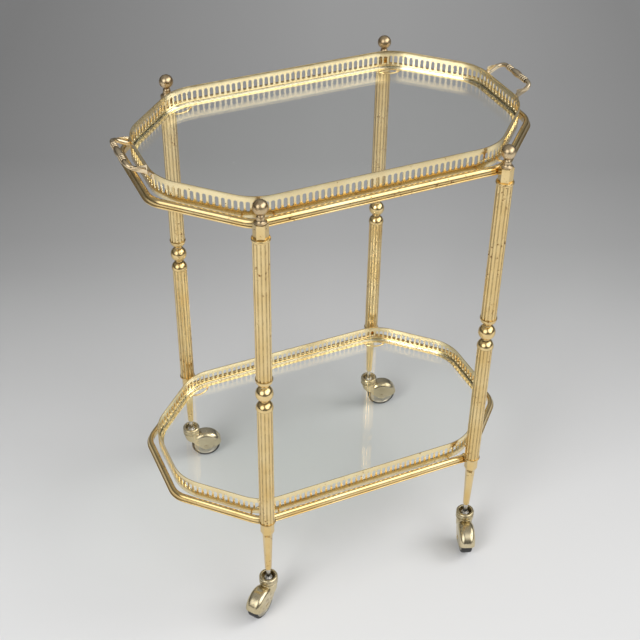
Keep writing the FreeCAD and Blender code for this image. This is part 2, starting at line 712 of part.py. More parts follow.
def make_brackets(tier, rim_z):
    """Wires bent to a circle, whose ends are joined to the inside of the rim by each leg."""
    hollow = new_body(tier + "_rim_hollow", z=rim_z, kept=False)
    sketch = new_sketch(hollow, "XY")
    draw_octagon(sketch, "rim", "-rim_width")
    pad(hollow, sketch, "rim_height")
    wires = []
    for leg, (sx, sy) in LEGS.items():
        bend = new_body("%s_%s_bend" % (tier, leg), signed(sx, "bracket_x"),
                        signed(sy, "bracket_y"), rim_z + " + bracket_rise + bracket_wire",
                        kept=False)
        section = new_sketch(bend, "XZ")
        draw(section, *chords("bracket_radius", "0", "bracket_wire", "90", "360", WIRE_CUTS)[1:])
        turn_about(bend, section)
        wire = doc.addObject("Part::Common", "%s_%s_bracket" % (tier, leg))
        wire.Base = bend
        wire.Tool = hollow
        wires.append(wire)
    group(tier + "_brackets", wires)


# ---- trays ----

def runs():
    """The straight stretches of a gallery's front half: middle, length and bearing."""
    slant_x = "(tray_half_length - tray_cut / 2)"
    slant_y = "-(tray_half_width - tray_cut / 2)"
    yield "0", "-tray_half_width", "2 * side_x", "(-90)"
    yield slant_x, slant_y, "slant_run", "(-45)"
    yield signed(-1, slant_x), slant_y, "slant_run", "(-135)"
    yield "tray_half_length", "-end_y / 2", "end_y", "0"
    yield "-tray_half_length", "-end_y / 2", "end_y", "180"


def draw_slot(sketch, x):
    left = "%s - slot_width / 2" % x
    right = "%s + slot_width / 2" % x
    draw(sketch, (left, "-slot_height / 2"), (right, "-slot_height / 2"),
         (right, "slot_height / 2"), (left, "slot_height / 2"))


def pierce_run(body, x, y, run, bearing):
    """A row of slots through a straight stretch of the wall."""
    count = "round(%s / slot_pitch)" % run
    pitch = "%s / %s" % (run, count)
    inside = "2 * wall"
    sketch = side_sketch(body, "%s - %s * cos(%s)" % (x, inside, bearing),
                         "%s - %s * sin(%s)" % (y, inside, bearing), "slot_centre", bearing)
    draw_slot(sketch, "(%s / 2 - %s / 2)" % (pitch, run))
    slot = pocket(body, sketch, "3 * wall", forward=True)
    repeat(body, "LinearPattern", slot, Direction=(sketch, ["H_Axis"]),
           Length="%s - %s" % (run, pitch), Occurrences=count)


def pierce_bend(body, centre, bearing):
    """A row of slots round a bend, which turns 45 degrees on from the bearing."""
    count = "round(tray_bend * pi / 4 / slot_pitch)"
    step = "45 / " + count
    sketch = side_sketch(body, *centre, "slot_centre", "%s + %s / 2" % (bearing, step))
    draw_slot(sketch, "0")
    slot = pocket(body, sketch, "tray_bend + wall", forward=True)
    repeat(body, "PolarPattern", slot, Axis=(sketch, ["V_Axis"]), Angle="45 - " + step,
           Occurrences=count)


def make_gallery(label, rim_z, turn, riveted):
    """Half of a tray's pierced wall with its turned-in foot, between the middles of the ends."""
    body = new_body(label, z=rim_z + " + tray_rise", turn=turn)
    band = new_sketch(body, "XY")
    draw_half_band(band, "tray", "0", "-wall")
    pad(body, band, "gallery_height")
    foot = new_sketch(body, "XY")
    draw_half_band(foot, "tray", "0", "-flange_width")
    pad(body, foot, "flange_thick")
    bends = front_bends("tray", "0")
    if riveted:
        for side, (start, end, centre) in ((-1, bends[0]), (1, bends[3])):
            hole = side_sketch(body, *centre, "gallery_height - handle_drop",
                               signed(side, "90 - rivet_bearing") + " - 90")
            draw_circle(hole, "0", "0", "rivet_radius")
            pocket(body, hole, "tray_bend + wall", forward=True)
    for x, y, run, bearing in runs():
        pierce_run(body, x, y, run, bearing)
    for bearing, (start, end, centre) in zip(("-180", "-135", "-90", "-45"), bends):
        pierce_bend(body, centre, bearing)


def make_glass(tier, rim_z):
    """A clear plate that lies on the gallery's foot."""
    body = new_body(tier + "_glass", z=rim_z + " + tray_rise + flange_thick")
    sketch = new_sketch(body, "XY")
    draw_octagon(sketch, "tray", "-(wall + glass_gap)")
    pad(body, sketch, "glass_thick")


# ---- handles ----

def handle_sketch(body, x="0"):
    """A sketch in the handle's sloping plane, with its x rising outwards from the wall."""
    return new_sketch(body, "XY", "%s * cos(handle_rise)" % x, "0", "%s * sin(handle_rise)" % x,
                      Vector(0, 1, 0), "-handle_rise")


def make_handle(side, turn):
    """A rod handle with a swollen, ringed grip, whose flattened ends lie on the end wall."""
    body = new_body("handle_" + side, x=signed(1 if side == "right" else -1, "tray_half_length"),
                    z="handle_z", turn=turn)
    path = handle_sketch(body)
    tip = "handle_half + foot_bend + tongue"
    foot = "handle_half + foot_bend"
    arm = "handle_reach - handle_bend"
    knee = "handle_half - handle_bend"
    draw(path, ("0", signed(-1, tip)), ("0", signed(-1, foot)),
         ("foot_bend", "-handle_half", "foot_bend", signed(-1, foot), -1),
         (arm, "-handle_half"),
         ("handle_reach", signed(-1, knee), arm, signed(-1, knee), 1),
         ("handle_reach", knee), (arm, "handle_half", arm, knee, 1),
         ("foot_bend", "handle_half"), ("0", foot, "foot_bend", foot, -1), ("0", tip),
         closed=False)
    section = new_sketch(body, "XZ", z=tip)
    draw(section, *chords("0", "0", "handle_rod", "22.5", "360", ROD_CUTS)[1:])
    rod = feature(body, "AdditivePipe", section)
    rod.Spine = (path, ["Edge%d" % n for n in range(1, path.GeometryCount + 1)])
    make_grip(body)
    wall = new_sketch(body, "XY", "-tray_half_length", "0", "-2 * handle_rod")
    draw_octagon(wall, "tray", "0")
    pocket(body, wall, "4 * handle_rod", forward=True)
    for way in (-1, 1):
        for radius, start in (("rivet_head", "rivet_seat"), ("rivet_radius", "0")):
            hole = rivet_sketch(body, way, start)
            draw_circle(hole, "0", "0", radius)
            pocket(body, hole, "2 * handle_rod", forward=True)


def make_grip(body):
    """The swelling in the middle of the grip, and the rings on both sides of it."""
    sketch = handle_sketch(body, "handle_reach")
    draw(sketch, ("0", "-grip_half"), ("grip_end", "-grip_half"),
         ("grip_radius", "-grip_half / 3"), ("grip_radius", "grip_half / 3"),
         ("grip_end", "grip_half"), ("0", "grip_half"))
    for way in (-1, 1):
        for number in range(int(value("bead_count"))):
            middle = signed(way, "grip_half + 2 * grip_bead + %d * bead_pitch" % number)
            low = "%s - grip_bead" % middle
            high = "%s + grip_bead" % middle
            draw(sketch, ("0", low), ("handle_rod / 2", low), ("bead_swell", middle),
                 ("handle_rod / 2", high), ("0", high))
    turn_about(body, sketch)


def rivet_sketch(body, way, start):
    """An upright sketch on a handle rivet's axis, at a distance outside the tray's wall."""
    bearing = signed(way, "rivet_bearing")
    reach = "(tray_bend + %s)" % start
    x = "%s * cos(rivet_bearing) - tray_bend" % reach
    y = signed(way, "end_y + %s * sin(rivet_bearing)" % reach)
    return side_sketch(body, x, y, "0", bearing)


def make_handle_rivets():
    """Rivets through the handles' tongues and the gallery's top band."""
    rivets = []
    for sx in (-1, 1):
        for way in (-1, 1):
            side = "right" if sx > 0 else "left"
            body = new_body("%s_rivet" % side, x=signed(sx, "tray_half_length"), z="handle_z",
                            turn="0" if sx > 0 else "180", kept=False)
            inside = "(wall + rivet_clear)"
            spans = (("rivet_head", "-rivet_head_height - " + inside, "rivet_head_height"),
                     ("rivet_radius", "-" + inside, inside + " + rivet_seat"),
                     ("rivet_head", "rivet_seat", "rivet_head_height"))
            for radius, start, length in spans:
                sketch = rivet_sketch(body, way, start)
                draw_circle(sketch, "0", "0", radius)
                pad(body, sketch, length)
            rivets.append(body)
    group("handle_rivets", rivets)


# ---- casters ----

def caster_body(leg, name, z="0"):
    sx, sy = LEGS[leg]
    return new_body("%s_%s" % (leg, name), signed(sx, "leg_x"), signed(sy, "leg_y"), z,
                    leg + "_trail")


def axle_sketch(body):
    """A level sketch whose vertical axis is the axle, and whose x is the radius."""
    return new_sketch(body, "XY", "trail", "0", "tyre_radius")


def draw_drum(sketch, radius, half_width, shoulder, bore_radius="0"):
    """Half the section of a drum with rounded shoulders, about the sketch's vertical axis."""
    flat = "(%s - %s)" % (half_width, shoulder)
    inner = "(%s - %s)" % (radius, shoulder)
    low = chords(inner, "-" + flat, shoulder, "-90", "90", SHOULDER_CUTS)
    high = chords(inner, flat, shoulder, "0", "90", SHOULDER_CUTS)
    draw(sketch, (bore_radius, signed(-1, half_width)), *low, *high, (bore_radius, half_width))


def make_hood(leg):
    """A drum-shaped shell over the wheel, cut away below, with a neck and a cup on its front."""
    body = caster_body(leg, "hood")
    drum = axle_sketch(body)
    draw_drum(drum, "hood_radius", "hood_half", "hood_round")
    turn_about(body, drum)
    make_cup(body)
    cavity = axle_sketch(body)
    draw_drum(cavity, "cavity_radius", "hood_half - cheek", "cavity_round")
    turn_about(body, cavity, "Groove")
    cut_below(body)
    bore(body, "cup_floor", "pin_radius + running_gap", "pin_length + drill_point")
    axle = new_sketch(body, "XZ", "trail", "tyre_radius", "0")
    draw_circle(axle, "0", "0", "axle_radius")
    pocket(body, axle, "2 * hood_width", both=True)


def make_cup(body):
    """The neck, with a bead, a groove and a dished cup for the nut on top of it."""
    groove_z = "cup_bottom + bead_height"
    barrel_z = groove_z + " + cup_groove"
    lathe(body, ("0", "tyre_radius"), ("neck_radius", "tyre_radius"),
          ("neck_radius", "cup_bottom"), ("cup_radius", "cup_bottom"),
          ("cup_radius", groove_z), ("cup_radius - cup_groove", groove_z),
          ("cup_radius - cup_groove", barrel_z), ("cup_radius", barrel_z),
          *chords("cup_radius - cup_round", "cup_top - cup_round", "cup_round", "0", "90",
                  SHOULDER_CUTS),
          ("cup_bore", "cup_top"), ("cup_bore", "cup_floor"), ("0", "cup_floor"))


def tangent(rise, run):
    """Degrees from level of a line to the axle's boss from a point that far up and along."""
    slope = "atan(%s / %s) / 1deg" % (rise, run)
    spread = "asin(axle_boss / sqrt(%s ^ 2 + %s ^ 2)) / 1deg" % (rise, run)
    return "%s + %s" % (slope, spread)


def cut_below(body):
    """Cuts the hood away under the cheeks, which come to a boss round the axle."""
    below = "-hood_width"
    front = "-2 * cup_radius"
    behind = "trail + 2 * hood_radius"
    tip_z = "tyre_radius + cheek_tip"
    edge_x = "trail - cheek_front"
    edge_z = "tyre_radius + cheek_rise"
    fall = tangent("cheek_tip", "hood_radius")
    climb = tangent("cheek_rise", "cheek_front")
    under = new_sketch(body, "XZ")
    draw(under, (front, below), (behind, below), (behind, tip_z),
         ("trail + hood_radius", tip_z),
         ("trail + axle_boss * sin(%s)" % fall, "tyre_radius - axle_boss * cos(%s)" % fall),
         ("trail - axle_boss * sin(%s)" % climb, "tyre_radius - axle_boss * cos(%s)" % climb,
          "trail", "tyre_radius", -1),
         (edge_x, edge_z),
         ("-neck_edge", "cup_bottom - sqrt(neck_front ^ 2 - neck_edge ^ 2)"),
         ("-neck_front", "cup_bottom", "0", "cup_bottom", -1),
         (front, "cup_bottom"))
    pocket(body, under, "4 * hood_width", both=True)


def make_axle(leg):
    """A rivet across the hood, with a head outside each cheek."""
    body = caster_body(leg, "axle")
    sketch = axle_sketch(body)
    end = "(hood_half + axle_head_height)"
    draw(sketch, ("0", "-" + end), ("axle_radius", "-" + end),
         ("axle_head_radius", "-hood_half"), ("axle_radius", "-hood_half"),
         ("axle_radius", "hood_half"), ("axle_head_radius", "hood_half"),
         ("axle_radius", end), ("0", end))
    turn_about(body, sketch)


def make_hub(leg):
    """The wheel's metal centre, dished on both sides between its boss and its edge."""
    body = caster_body(leg, "hub")
    sketch = axle_sketch(body)
    hole = "axle_radius + running_gap"
    boss = "(hood_half - cheek - boss_gap)"
    edge = "hub_width / 2"
    dish = "(%s - hub_dish)" % edge
    dished = "hub_radius - hub_dish"
    draw(sketch, (hole, "-" + boss), ("hub_boss", "-" + boss), (dished, "-" + dish),
         ("hub_radius", "-" + edge), ("hub_radius", edge), (dished, dish), ("hub_boss", boss),
         (hole, boss))
    turn_about(body, sketch)


def make_tyre(leg):
    """A rubber band round the wheel's metal centre."""
    body = caster_body(leg, "tyre")
    sketch = axle_sketch(body)
    draw_drum(sketch, "tyre_radius", "tyre_width / 2", "tyre_round", "hub_radius")
    turn_about(body, sketch)


# ---- the trolley ----

for tier, rim_z in TIERS.items():
    make_rim(tier, rim_z)
    make_brackets(tier, rim_z)
    make_gallery(tier + "_gallery_front", rim_z, "0", tier == "top")
    make_gallery(tier + "_gallery_back", rim_z, "180", tier == "top")
    make_glass(tier, rim_z)
make_rim_screws()
make_tie_rods()
make_handle("right", "0")
make_handle("left", "180")
make_handle_rivets()
for leg in LEGS:
    make_stem(leg)
    make_foot(leg)
    make_column(leg, "lower", "lower_column_z")
    make_knop(leg)
    make_column(leg, "upper", "upper_column_z")
    make_top_collar(leg)
    make_finial(leg)
    make_hood(leg)
    make_axle(leg)
    make_hub(leg)
    make_tyre(leg)
doc.recompute()

CUTS = ("Pocket", "Groove", "LinearPattern", "PolarPattern")
for thing in doc.Objects:
    if {"Invalid", "Error"} & set(thing.State):
        raise RuntimeError("%s: %s" % (thing.Name, thing.getStatusString()))
    if thing.TypeId.split("::")[-1] in CUTS:
        if thing.Shape.Volume >= thing.BaseFeature.Shape.Volume:
            raise RuntimeError("%s cuts nothing" % thing.Name)
for part in parts:
    if part.Shape.isNull() or not part.Shape.isValid():
        raise RuntimeError("%s has no valid shape" % part.Label)

os.makedirs("parts", exist_ok=True)
for part in parts:
    part.Shape.exportStep("parts/%s.step" % part.Label)
print("%d parts" % len(parts))
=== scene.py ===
"""A two-tier dessert trolley in aged brass, with pierced galleries, glass trays and casters."""

import math

import bmesh
import bpy
from mathutils import Matrix, Vector


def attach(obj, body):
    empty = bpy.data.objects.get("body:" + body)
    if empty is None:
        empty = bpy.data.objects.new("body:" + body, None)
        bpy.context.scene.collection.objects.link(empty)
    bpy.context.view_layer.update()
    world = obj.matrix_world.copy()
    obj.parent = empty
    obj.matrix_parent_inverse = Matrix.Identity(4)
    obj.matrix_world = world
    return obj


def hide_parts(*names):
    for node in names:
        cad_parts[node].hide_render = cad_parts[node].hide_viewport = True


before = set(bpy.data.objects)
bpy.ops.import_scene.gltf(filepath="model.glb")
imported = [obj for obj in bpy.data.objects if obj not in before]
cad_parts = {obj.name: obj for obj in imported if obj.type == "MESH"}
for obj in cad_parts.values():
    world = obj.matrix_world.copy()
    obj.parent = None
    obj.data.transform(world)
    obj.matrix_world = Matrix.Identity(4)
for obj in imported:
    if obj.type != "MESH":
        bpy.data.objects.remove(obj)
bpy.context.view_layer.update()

MM = 0.001
# the tangent of half the turn of an outline's bend
BEND_TAN = math.tan(math.radians(22.5))
BEND_STEPS = 14
# points closer than this are one point, in metres
MERGE = 1e-6

# sizes in millimetres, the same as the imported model's
TRAY = dict(length=260.0, width=154.5, cut=92.8, bend=68.0)
RIM_OFFSET = 14.7
RIM = dict(length=TRAY["length"] + RIM_OFFSET, width=TRAY["width"] + RIM_OFFSET,
           cut=TRAY["cut"] + RIM_OFFSET * (2 - math.sqrt(2)), bend=42.0)
RIM_SECTION = 9.7
RIM_HEIGHT = 10.3
RIM_BEAD = 1.3
RIM_SHOULDER = 8.2
RIM_ROUND = 3.0
RIM_GROOVE = 0.3
RIM_EDGE = 0.4
WALL = 1.4
GALLERY_HEIGHT = 30.5
FLANGE_WIDTH = 8.0
FLANGE_THICK = 1.6
SLOT_PITCH = 8.1
SLOT_WIDTH = 5.1
SLOT_HEIGHT = 13.8
SLOT_MIDDLE = 16.05
SLOT_MARGIN = 0.9
GLASS_THICK = 5.0
GLASS_GAP = 1.9
GLASS_SEAT = 0.06
RIM_Z = {"bottom": 162.0, "top": 670.5}
TRAY_RISE = 3.5
LEG_X = 167.72
LEG_Y = 176.09
LEG_BEARING = 13.6
LEG_TURN = 22.5
BRACKET_RADIUS = 23.3
BRACKET_WIRE = 1.4
BRACKET_Z = 2.0
TRAIL = 23.1
AXLE_Z = 23.8
# each leg's side in x and y, and the direction its wheel trails in, in degrees
LEGS = {
    "front_left": (-1, -1, -144.4),
    "front_right": (1, -1, -111.4),
    "back_right": (1, 1, -15.0),
    "back_left": (-1, 1, -15.9),
}


# ---- meshes ----

def new_mesh(name, verts, faces, sharp=30.0, soil_and_shade=None):
    """A mesh from points in millimetres, shaded smooth up to an angle.

    Soil gives the share of the dark tone at each point: settled dirt, and in the columns'
    flutes painted shade too.
    """
    mesh = bpy.data.meshes.new(name)
    mesh.from_pydata([tuple(c * MM for c in v) for v in verts], [], faces)
    if soil_and_shade:
        mesh.attributes.new("soil_and_shade", "FLOAT", "POINT").data.foreach_set("value", soil_and_shade)
    build = bmesh.new()
    build.from_mesh(mesh)
    bmesh.ops.remove_doubles(build, verts=build.verts, dist=MERGE)
    bmesh.ops.recalc_face_normals(build, faces=build.faces)
    build.to_mesh(mesh)
    build.free()
    mesh.shade_smooth()
    mesh.set_sharp_from_angle(angle=math.radians(sharp))
    return mesh


BEVEL_ANGLE = 25.0


def add_piece(name, mesh, material, body, *nodes, where=None, bevel=0.0):
    """Puts a mesh in the scene as a piece on a body, in place of the nodes."""
    obj = bpy.data.objects.new(name, mesh)
    bpy.context.scene.collection.objects.link(obj)
    if not mesh.materials:
        mesh.materials.append(material)
    if where is not None:
        obj.matrix_world = where
    if bevel:
        edge = obj.modifiers.new("edges", "BEVEL")
        edge.width = bevel * MM
        edge.segments = 2
        edge.limit_method = "ANGLE"
        edge.angle_limit = math.radians(BEVEL_ANGLE)
        edge.harden_normals = True
    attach(obj, body)
    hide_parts(*nodes)


def arc(cx, cy, radius, start, end, count):
    """Points on an arc, from one angle to another in degrees."""
    angles = [math.radians(start + (end - start) * n / count) for n in range(count + 1)]
    return [(cx + radius * math.cos(a), cy + radius * math.sin(a)) for a in angles]


def settled(spots, radius, height):
    """The dirt at a point of a profile, from spots that each have a place, reach and share."""
    return max((share * max(0.0, 1 - math.hypot(radius - r, height - h) / reach)
                for r, h, reach, share in spots), default=0.0)


def loop_faces(rows, count, closed=False):
    """The faces between rows of points, each row a closed loop with the same count."""
    faces = []
    for row in range(rows if closed else rows - 1):
        here = row * count
        there = (row + 1) % rows * count
        for n in range(count):
            m = (n + 1) % count
            faces.append((here + n, here + m, there + m, there + n))
    return faces


def lathe(name, profile, count=64, sharp=30.0, dirty=()):
    """A profile of radius and height turned about the Z axis."""
    verts = []
    soil_and_shade = [settled(dirty, *point) for point in profile for n in range(count)]
    for radius, height in profile:
        for n in range(count):
            a = 2 * math.pi * n / count
            verts.append((radius * math.cos(a), radius * math.sin(a), height))
    return new_mesh(name, verts, loop_faces(len(profile), count), sharp, soil_and_shade)


def mirrored(profile):
    """A lathe profile's half above the middle, followed by its mirror image below."""
    return profile + [(r, -h) for r, h in reversed(profile)]


def stack(name, rings, sharp=30.0, soil_and_shade=None):
    """A skin over rings of points that all have the same count; the ends are capped."""
    count = len(rings[0])
    verts = [p for ring in rings for p in ring]
    faces = loop_faces(len(rings), count)
    faces.append(tuple(range(count)))
    faces.append(tuple(range((len(rings) - 1) * count, len(rings) * count)))
    return new_mesh(name, verts, faces, sharp, soil_and_shade)


def hexagon(flats):
    """A regular hexagon with one flat facing +x, given across flats."""
    reach = flats / 2 / math.cos(math.pi / 6)
    return [(reach * math.cos(math.pi * (2 * n + 1) / 6),
             reach * math.sin(math.pi * (2 * n + 1) / 6)) for n in range(6)]


def bend_centres(shape):
    """Where the bends turn in the quarter at +x, +y: x and y by the side, then by the end."""
    cut_in = shape["cut"] + shape["bend"] * BEND_TAN
    side = (shape["length"] - cut_in, shape["width"] - shape["bend"])
    end = (shape["length"] - shape["bend"], shape["width"] - cut_in)
    return side, end


def outline(shape, offset):
    """A closed outline of a tray or rim, anticlockwise from the middle of the front side."""
    radius = shape["bend"] + offset
    (side_x, far_y), (far_x, end_y) = bend_centres(shape)
    centres = [(side_x, -far_y, -90), (far_x, -end_y, -45), (far_x, end_y, 0),
               (side_x, far_y, 45), (-side_x, far_y, 90), (-far_x, end_y, 135),
               (-far_x, -end_y, 180), (-side_x, -far_y, 225)]
    points = []
    for x, y, start in centres:
        points += arc(x, y, radius, start, start + 45, BEND_STEPS)
    return points


def leg_place(leg, z, turn=None):
    """A place on a leg's axis; without a turn, a flat faces the rim's bend there."""
    sx, sy, trail = LEGS[leg]
    if turn is None:
        turn = sy * (90 - sx * LEG_TURN)
    spin = Matrix.Rotation(math.radians(turn), 4, "Z")
    return Matrix.Translation((sx * LEG_X * MM, sy * LEG_Y * MM, z * MM)) @ spin


# ---- materials ----

def new_material(name):
    """A material, its node tree and its principled shader."""
    material = bpy.data.materials.new(name)
    material.use_nodes = True
    tree = material.node_tree
    shader = next(n for n in tree.nodes if n.type == "BSDF_PRINCIPLED")
    return material, tree, shader


def node(tree, kind, inputs=None, **settings):
    """A shader node; each input is a link from a socket or a value."""
    made = tree.nodes.new("ShaderNode" + kind)
    for name, setting in settings.items():
        setattr(made, name, setting)
    for name, source in (inputs or {}).items():
        if isinstance(source, bpy.types.NodeSocket):
            tree.links.new(source, made.inputs[name])
        else:
            made.inputs[name].default_value = source
    return made


def noise(tree, vector, scale, detail=4.0, rough=0.55):
    made = node(tree, "TexNoise", {"Vector": vector, "Scale": scale, "Detail": detail,
                                   "Roughness": rough})
    return made.outputs["Fac"]


def ramp(tree, factor, *stops):
    """A colour ramp; each stop is a position and a grey or a colour."""
    made = node(tree, "ValToRGB", {"Fac": factor})
    elements = made.color_ramp.elements
    for number, (position, colour) in enumerate(stops):
        stop = elements[number] if number < 2 else elements.new(position)
        stop.position = position
        if not isinstance(colour, tuple):
            colour = (colour,) * 3
        stop.color = (*colour, 1.0)
    return made.outputs["Color"]


def mix(tree, factor, first, second):
    """A blend of two colours, each of them a socket or a plain colour."""
    made = tree.nodes.new("ShaderNodeMix")
    made.data_type = "RGBA"
    tree.links.new(factor, made.inputs[0])
    for index, source in ((6, first), (7, second)):
        if isinstance(source, bpy.types.NodeSocket):
            tree.links.new(source, made.inputs[index])
        else:
            made.inputs[index].default_value = (*source, 1.0)
    return made.outputs[2]


def place_vector(tree):
    """Object coordinates, shifted for each object so that no two pieces share their marks."""
    where = node(tree, "TexCoord").outputs["Object"]
    shift = node(tree, "ObjectInfo").outputs["Random"]
    return node(tree, "VectorMath", {0: where, 1: shift}, operation="ADD").outputs["Vector"]


# the dark tone of dirt, which also paints shade into the columns' flutes
DIRT_AND_SHADE = (0.055, 0.032, 0.012)
# how much rougher a tarnished speck and a dirty spot are than clean metal
SPECK_ROUGH = 0.3
DIRT_ROUGH = 0.35
# noise scales of the metals, in waves per metre
CLOUDS = 22.0
SPECKS = 260.0
PATCHES = 30.0
GRIME_AND_SHADE = 90.0
WEAR = 70.0
SCRATCHES = 500.0
SCRATCH_DEPTH = 0.0002
SCRATCH_STRENGTH = 0.012


def aged_metal(name, light, dark, tarnish, rough, spots=0.62):
    """Polished metal with slow colour changes, fine wear, specks where it has tarnished, and a
    dark tone where the mesh asks for it: dirt, and in the columns' flutes painted shade.

    Rough is the lowest and highest roughness; fewer specks show where spots is higher.
    """
    material, tree, shader = new_material(name)
    vector = place_vector(tree)
    slow = noise(tree, vector, CLOUDS, 2.0)
    clouds = ramp(tree, slow, (0.35, 0.0), (0.7, 1.0))
    colour = mix(tree, clouds, light, dark)
    specks = ramp(tree, noise(tree, vector, SPECKS, 3.0, 0.6), (spots, 0.0),
                  (spots + 0.05, 1.0))
    patches = ramp(tree, noise(tree, vector, PATCHES, 2.0), (0.5, 0.0), (0.62, 1.0))
    marks = node(tree, "Math", {0: specks, 1: patches}, operation="MULTIPLY").outputs[0]
    # the mesh's share of the dark tone is settled dirt, and in the columns' flutes painted
    # shade as well
    soil_and_shade = node(tree, "Attribute", attribute_name="soil_and_shade").outputs["Fac"]
    uneven = ramp(tree, noise(tree, vector, GRIME_AND_SHADE, 4.0, 0.6), (0.32, 0.45), (0.6, 1.0))
    dirt_and_shade = node(tree, "Math", {0: soil_and_shade, 1: uneven}, operation="MULTIPLY").outputs[0]
    tone = mix(tree, dirt_and_shade, mix(tree, marks, colour, tarnish), DIRT_AND_SHADE)
    tree.links.new(tone, shader.inputs["Base Color"])
    wear = noise(tree, vector, WEAR, 4.0)
    spread = node(tree, "MapRange", {"Value": wear, "From Min": 0.3, "From Max": 0.7,
                                     "To Min": rough[0], "To Max": rough[1]})
    dull = node(tree, "Math", {0: marks, 1: SPECK_ROUGH, 2: spread.outputs[0]},
                operation="MULTIPLY_ADD").outputs[0]
    matt = node(tree, "Math", {0: dirt_and_shade, 1: DIRT_ROUGH, 2: dull}, operation="MULTIPLY_ADD")
    tree.links.new(matt.outputs[0], shader.inputs["Roughness"])
    lines = noise(tree, vector, SCRATCHES, 2.0)
    bump = node(tree, "Bump", {"Height": lines, "Strength": SCRATCH_STRENGTH,
                               "Distance": SCRATCH_DEPTH})
    tree.links.new(bump.outputs["Normal"], shader.inputs["Normal"])
    shader.inputs["Metallic"].default_value = 1.0
    return material


BRASS = aged_metal("brass", (0.90, 0.70, 0.36), (0.80, 0.57, 0.24), (0.26, 0.12, 0.04),
                   rough=(0.12, 0.22), spots=0.6)
# the galleries' brass is cleaner and paler than the rest; the paler tone is painted light,
# standing in for brightly lit gallery walls
GALLERY_BRASS_PAINTED_BRIGHT = aged_metal("gallery_brass", (0.96, 0.82, 0.50), (0.90, 0.72, 0.40),
                           (0.34, 0.18, 0.07), rough=(0.16, 0.27), spots=0.64)
HANDLE_BRASS = aged_metal("handle_brass", (0.92, 0.79, 0.56), (0.80, 0.62, 0.38),
                          (0.22, 0.11, 0.04), rough=(0.16, 0.28), spots=0.6)
FINIAL_BRASS = aged_metal("finial_brass", (0.72, 0.57, 0.36), (0.58, 0.42, 0.23),
                          (0.22, 0.11, 0.04), rough=(0.22, 0.34), spots=0.58)
CASTER_BRASS = aged_metal("caster_brass", (0.74, 0.64, 0.43), (0.56, 0.47, 0.28),
                          (0.16, 0.09, 0.04), rough=(0.14, 0.28), spots=0.6)
HUB_METAL = aged_metal("hub_metal", (0.58, 0.54, 0.44), (0.45, 0.41, 0.32), (0.1, 0.08, 0.05),
                       rough=(0.3, 0.5))
STEEL = aged_metal("steel", (0.66, 0.65, 0.62), (0.55, 0.53, 0.50), (0.2, 0.15, 0.1),
                   rough=(0.18, 0.36))


DUST = 300.0
DUST_ROUGH = 0.35
GLASS_IOR = 1.5
# what is left of the light that falls through the glass
GLASS_LIGHT = (0.92, 0.945, 0.93, 1.0)


def make_glass_material(name, tint):
    """Clear float glass with a little dust on it, which lets soft light straight through."""
    material, tree, shader = new_material(name)
    vector = place_vector(tree)
    dust = ramp(tree, noise(tree, vector, DUST, 3.0, 0.6), (0.73, 0.0), (0.78, 1.0))
    shader.inputs["Base Color"].default_value = (*tint, 1.0)
    shader.inputs["Transmission Weight"].default_value = 1.0
    shader.inputs["IOR"].default_value = GLASS_IOR
    faint = node(tree, "Math", {0: dust, 1: DUST_ROUGH}, operation="MULTIPLY")
    tree.links.new(faint.outputs[0], shader.inputs["Roughness"])
    clear = node(tree, "BsdfTransparent", {"Color": GLASS_LIGHT})
    path = node(tree, "LightPath").outputs
    light = node(tree, "Math", {0: path["Is Shadow Ray"], 1: path["Is Diffuse Ray"]},
                 operation="MAXIMUM").outputs[0]
    both = node(tree, "MixShader", {0: light, 1: shader.outputs[0], 2: clear.outputs[0]})
    output = next(n for n in tree.nodes if n.type == "OUTPUT_MATERIAL")
    tree.links.new(both.outputs[0], output.inputs["Surface"])
    return material


RUBBER_BLACK = (0.008, 0.008, 0.008)
RUBBER_BLOOM = (0.022, 0.021, 0.02)
BLOOM = 160.0
RUBBER_GRAIN = 1500.0
RUBBER_ROUGH = 0.55
GRAIN_STRENGTH = 0.15
GRAIN_DEPTH = 0.0003


def make_rubber():
    """Black rubber with a grey bloom and a fine grain."""
    material, tree, shader = new_material("tyre")
    vector = place_vector(tree)
    bloom = ramp(tree, noise(tree, vector, BLOOM, 6.0, 0.7), (0.4, 0.0), (0.75, 1.0))
    tree.links.new(mix(tree, bloom, RUBBER_BLACK, RUBBER_BLOOM), shader.inputs["Base Color"])
    shader.inputs["Roughness"].default_value = RUBBER_ROUGH
    bump = node(tree, "Bump", {"Height": noise(tree, vector, RUBBER_GRAIN),
                               "Strength": GRAIN_STRENGTH, "Distance": GRAIN_DEPTH})
    tree.links.new(bump.outputs["Normal"], shader.inputs["Normal"])
    return material


GLASS = make_glass_material("glass", (0.985, 0.995, 0.985))
GLASS_EDGE = make_glass_material("glass_edge", (0.30, 0.52, 0.42))
RUBBER = make_rubber()


# ---- rims, brackets and screws ----

def sweep_outline(name, shape, section, z, dirty):
    """A closed band with a section of offsets and heights along an outline."""
    rings = [outline(shape, offset) for offset, height in section]
    columns = len(rings[0])
    verts = []
    soil_and_shade = []
    for ring, (offset, height) in zip(rings, section):
        verts += [(x, y, height + z) for x, y in ring]
        soil_and_shade += [settled(dirty, offset, height)] * columns
    return new_mesh(name, verts, loop_faces(len(section), columns, True), soil_and_shade=soil_and_shade)


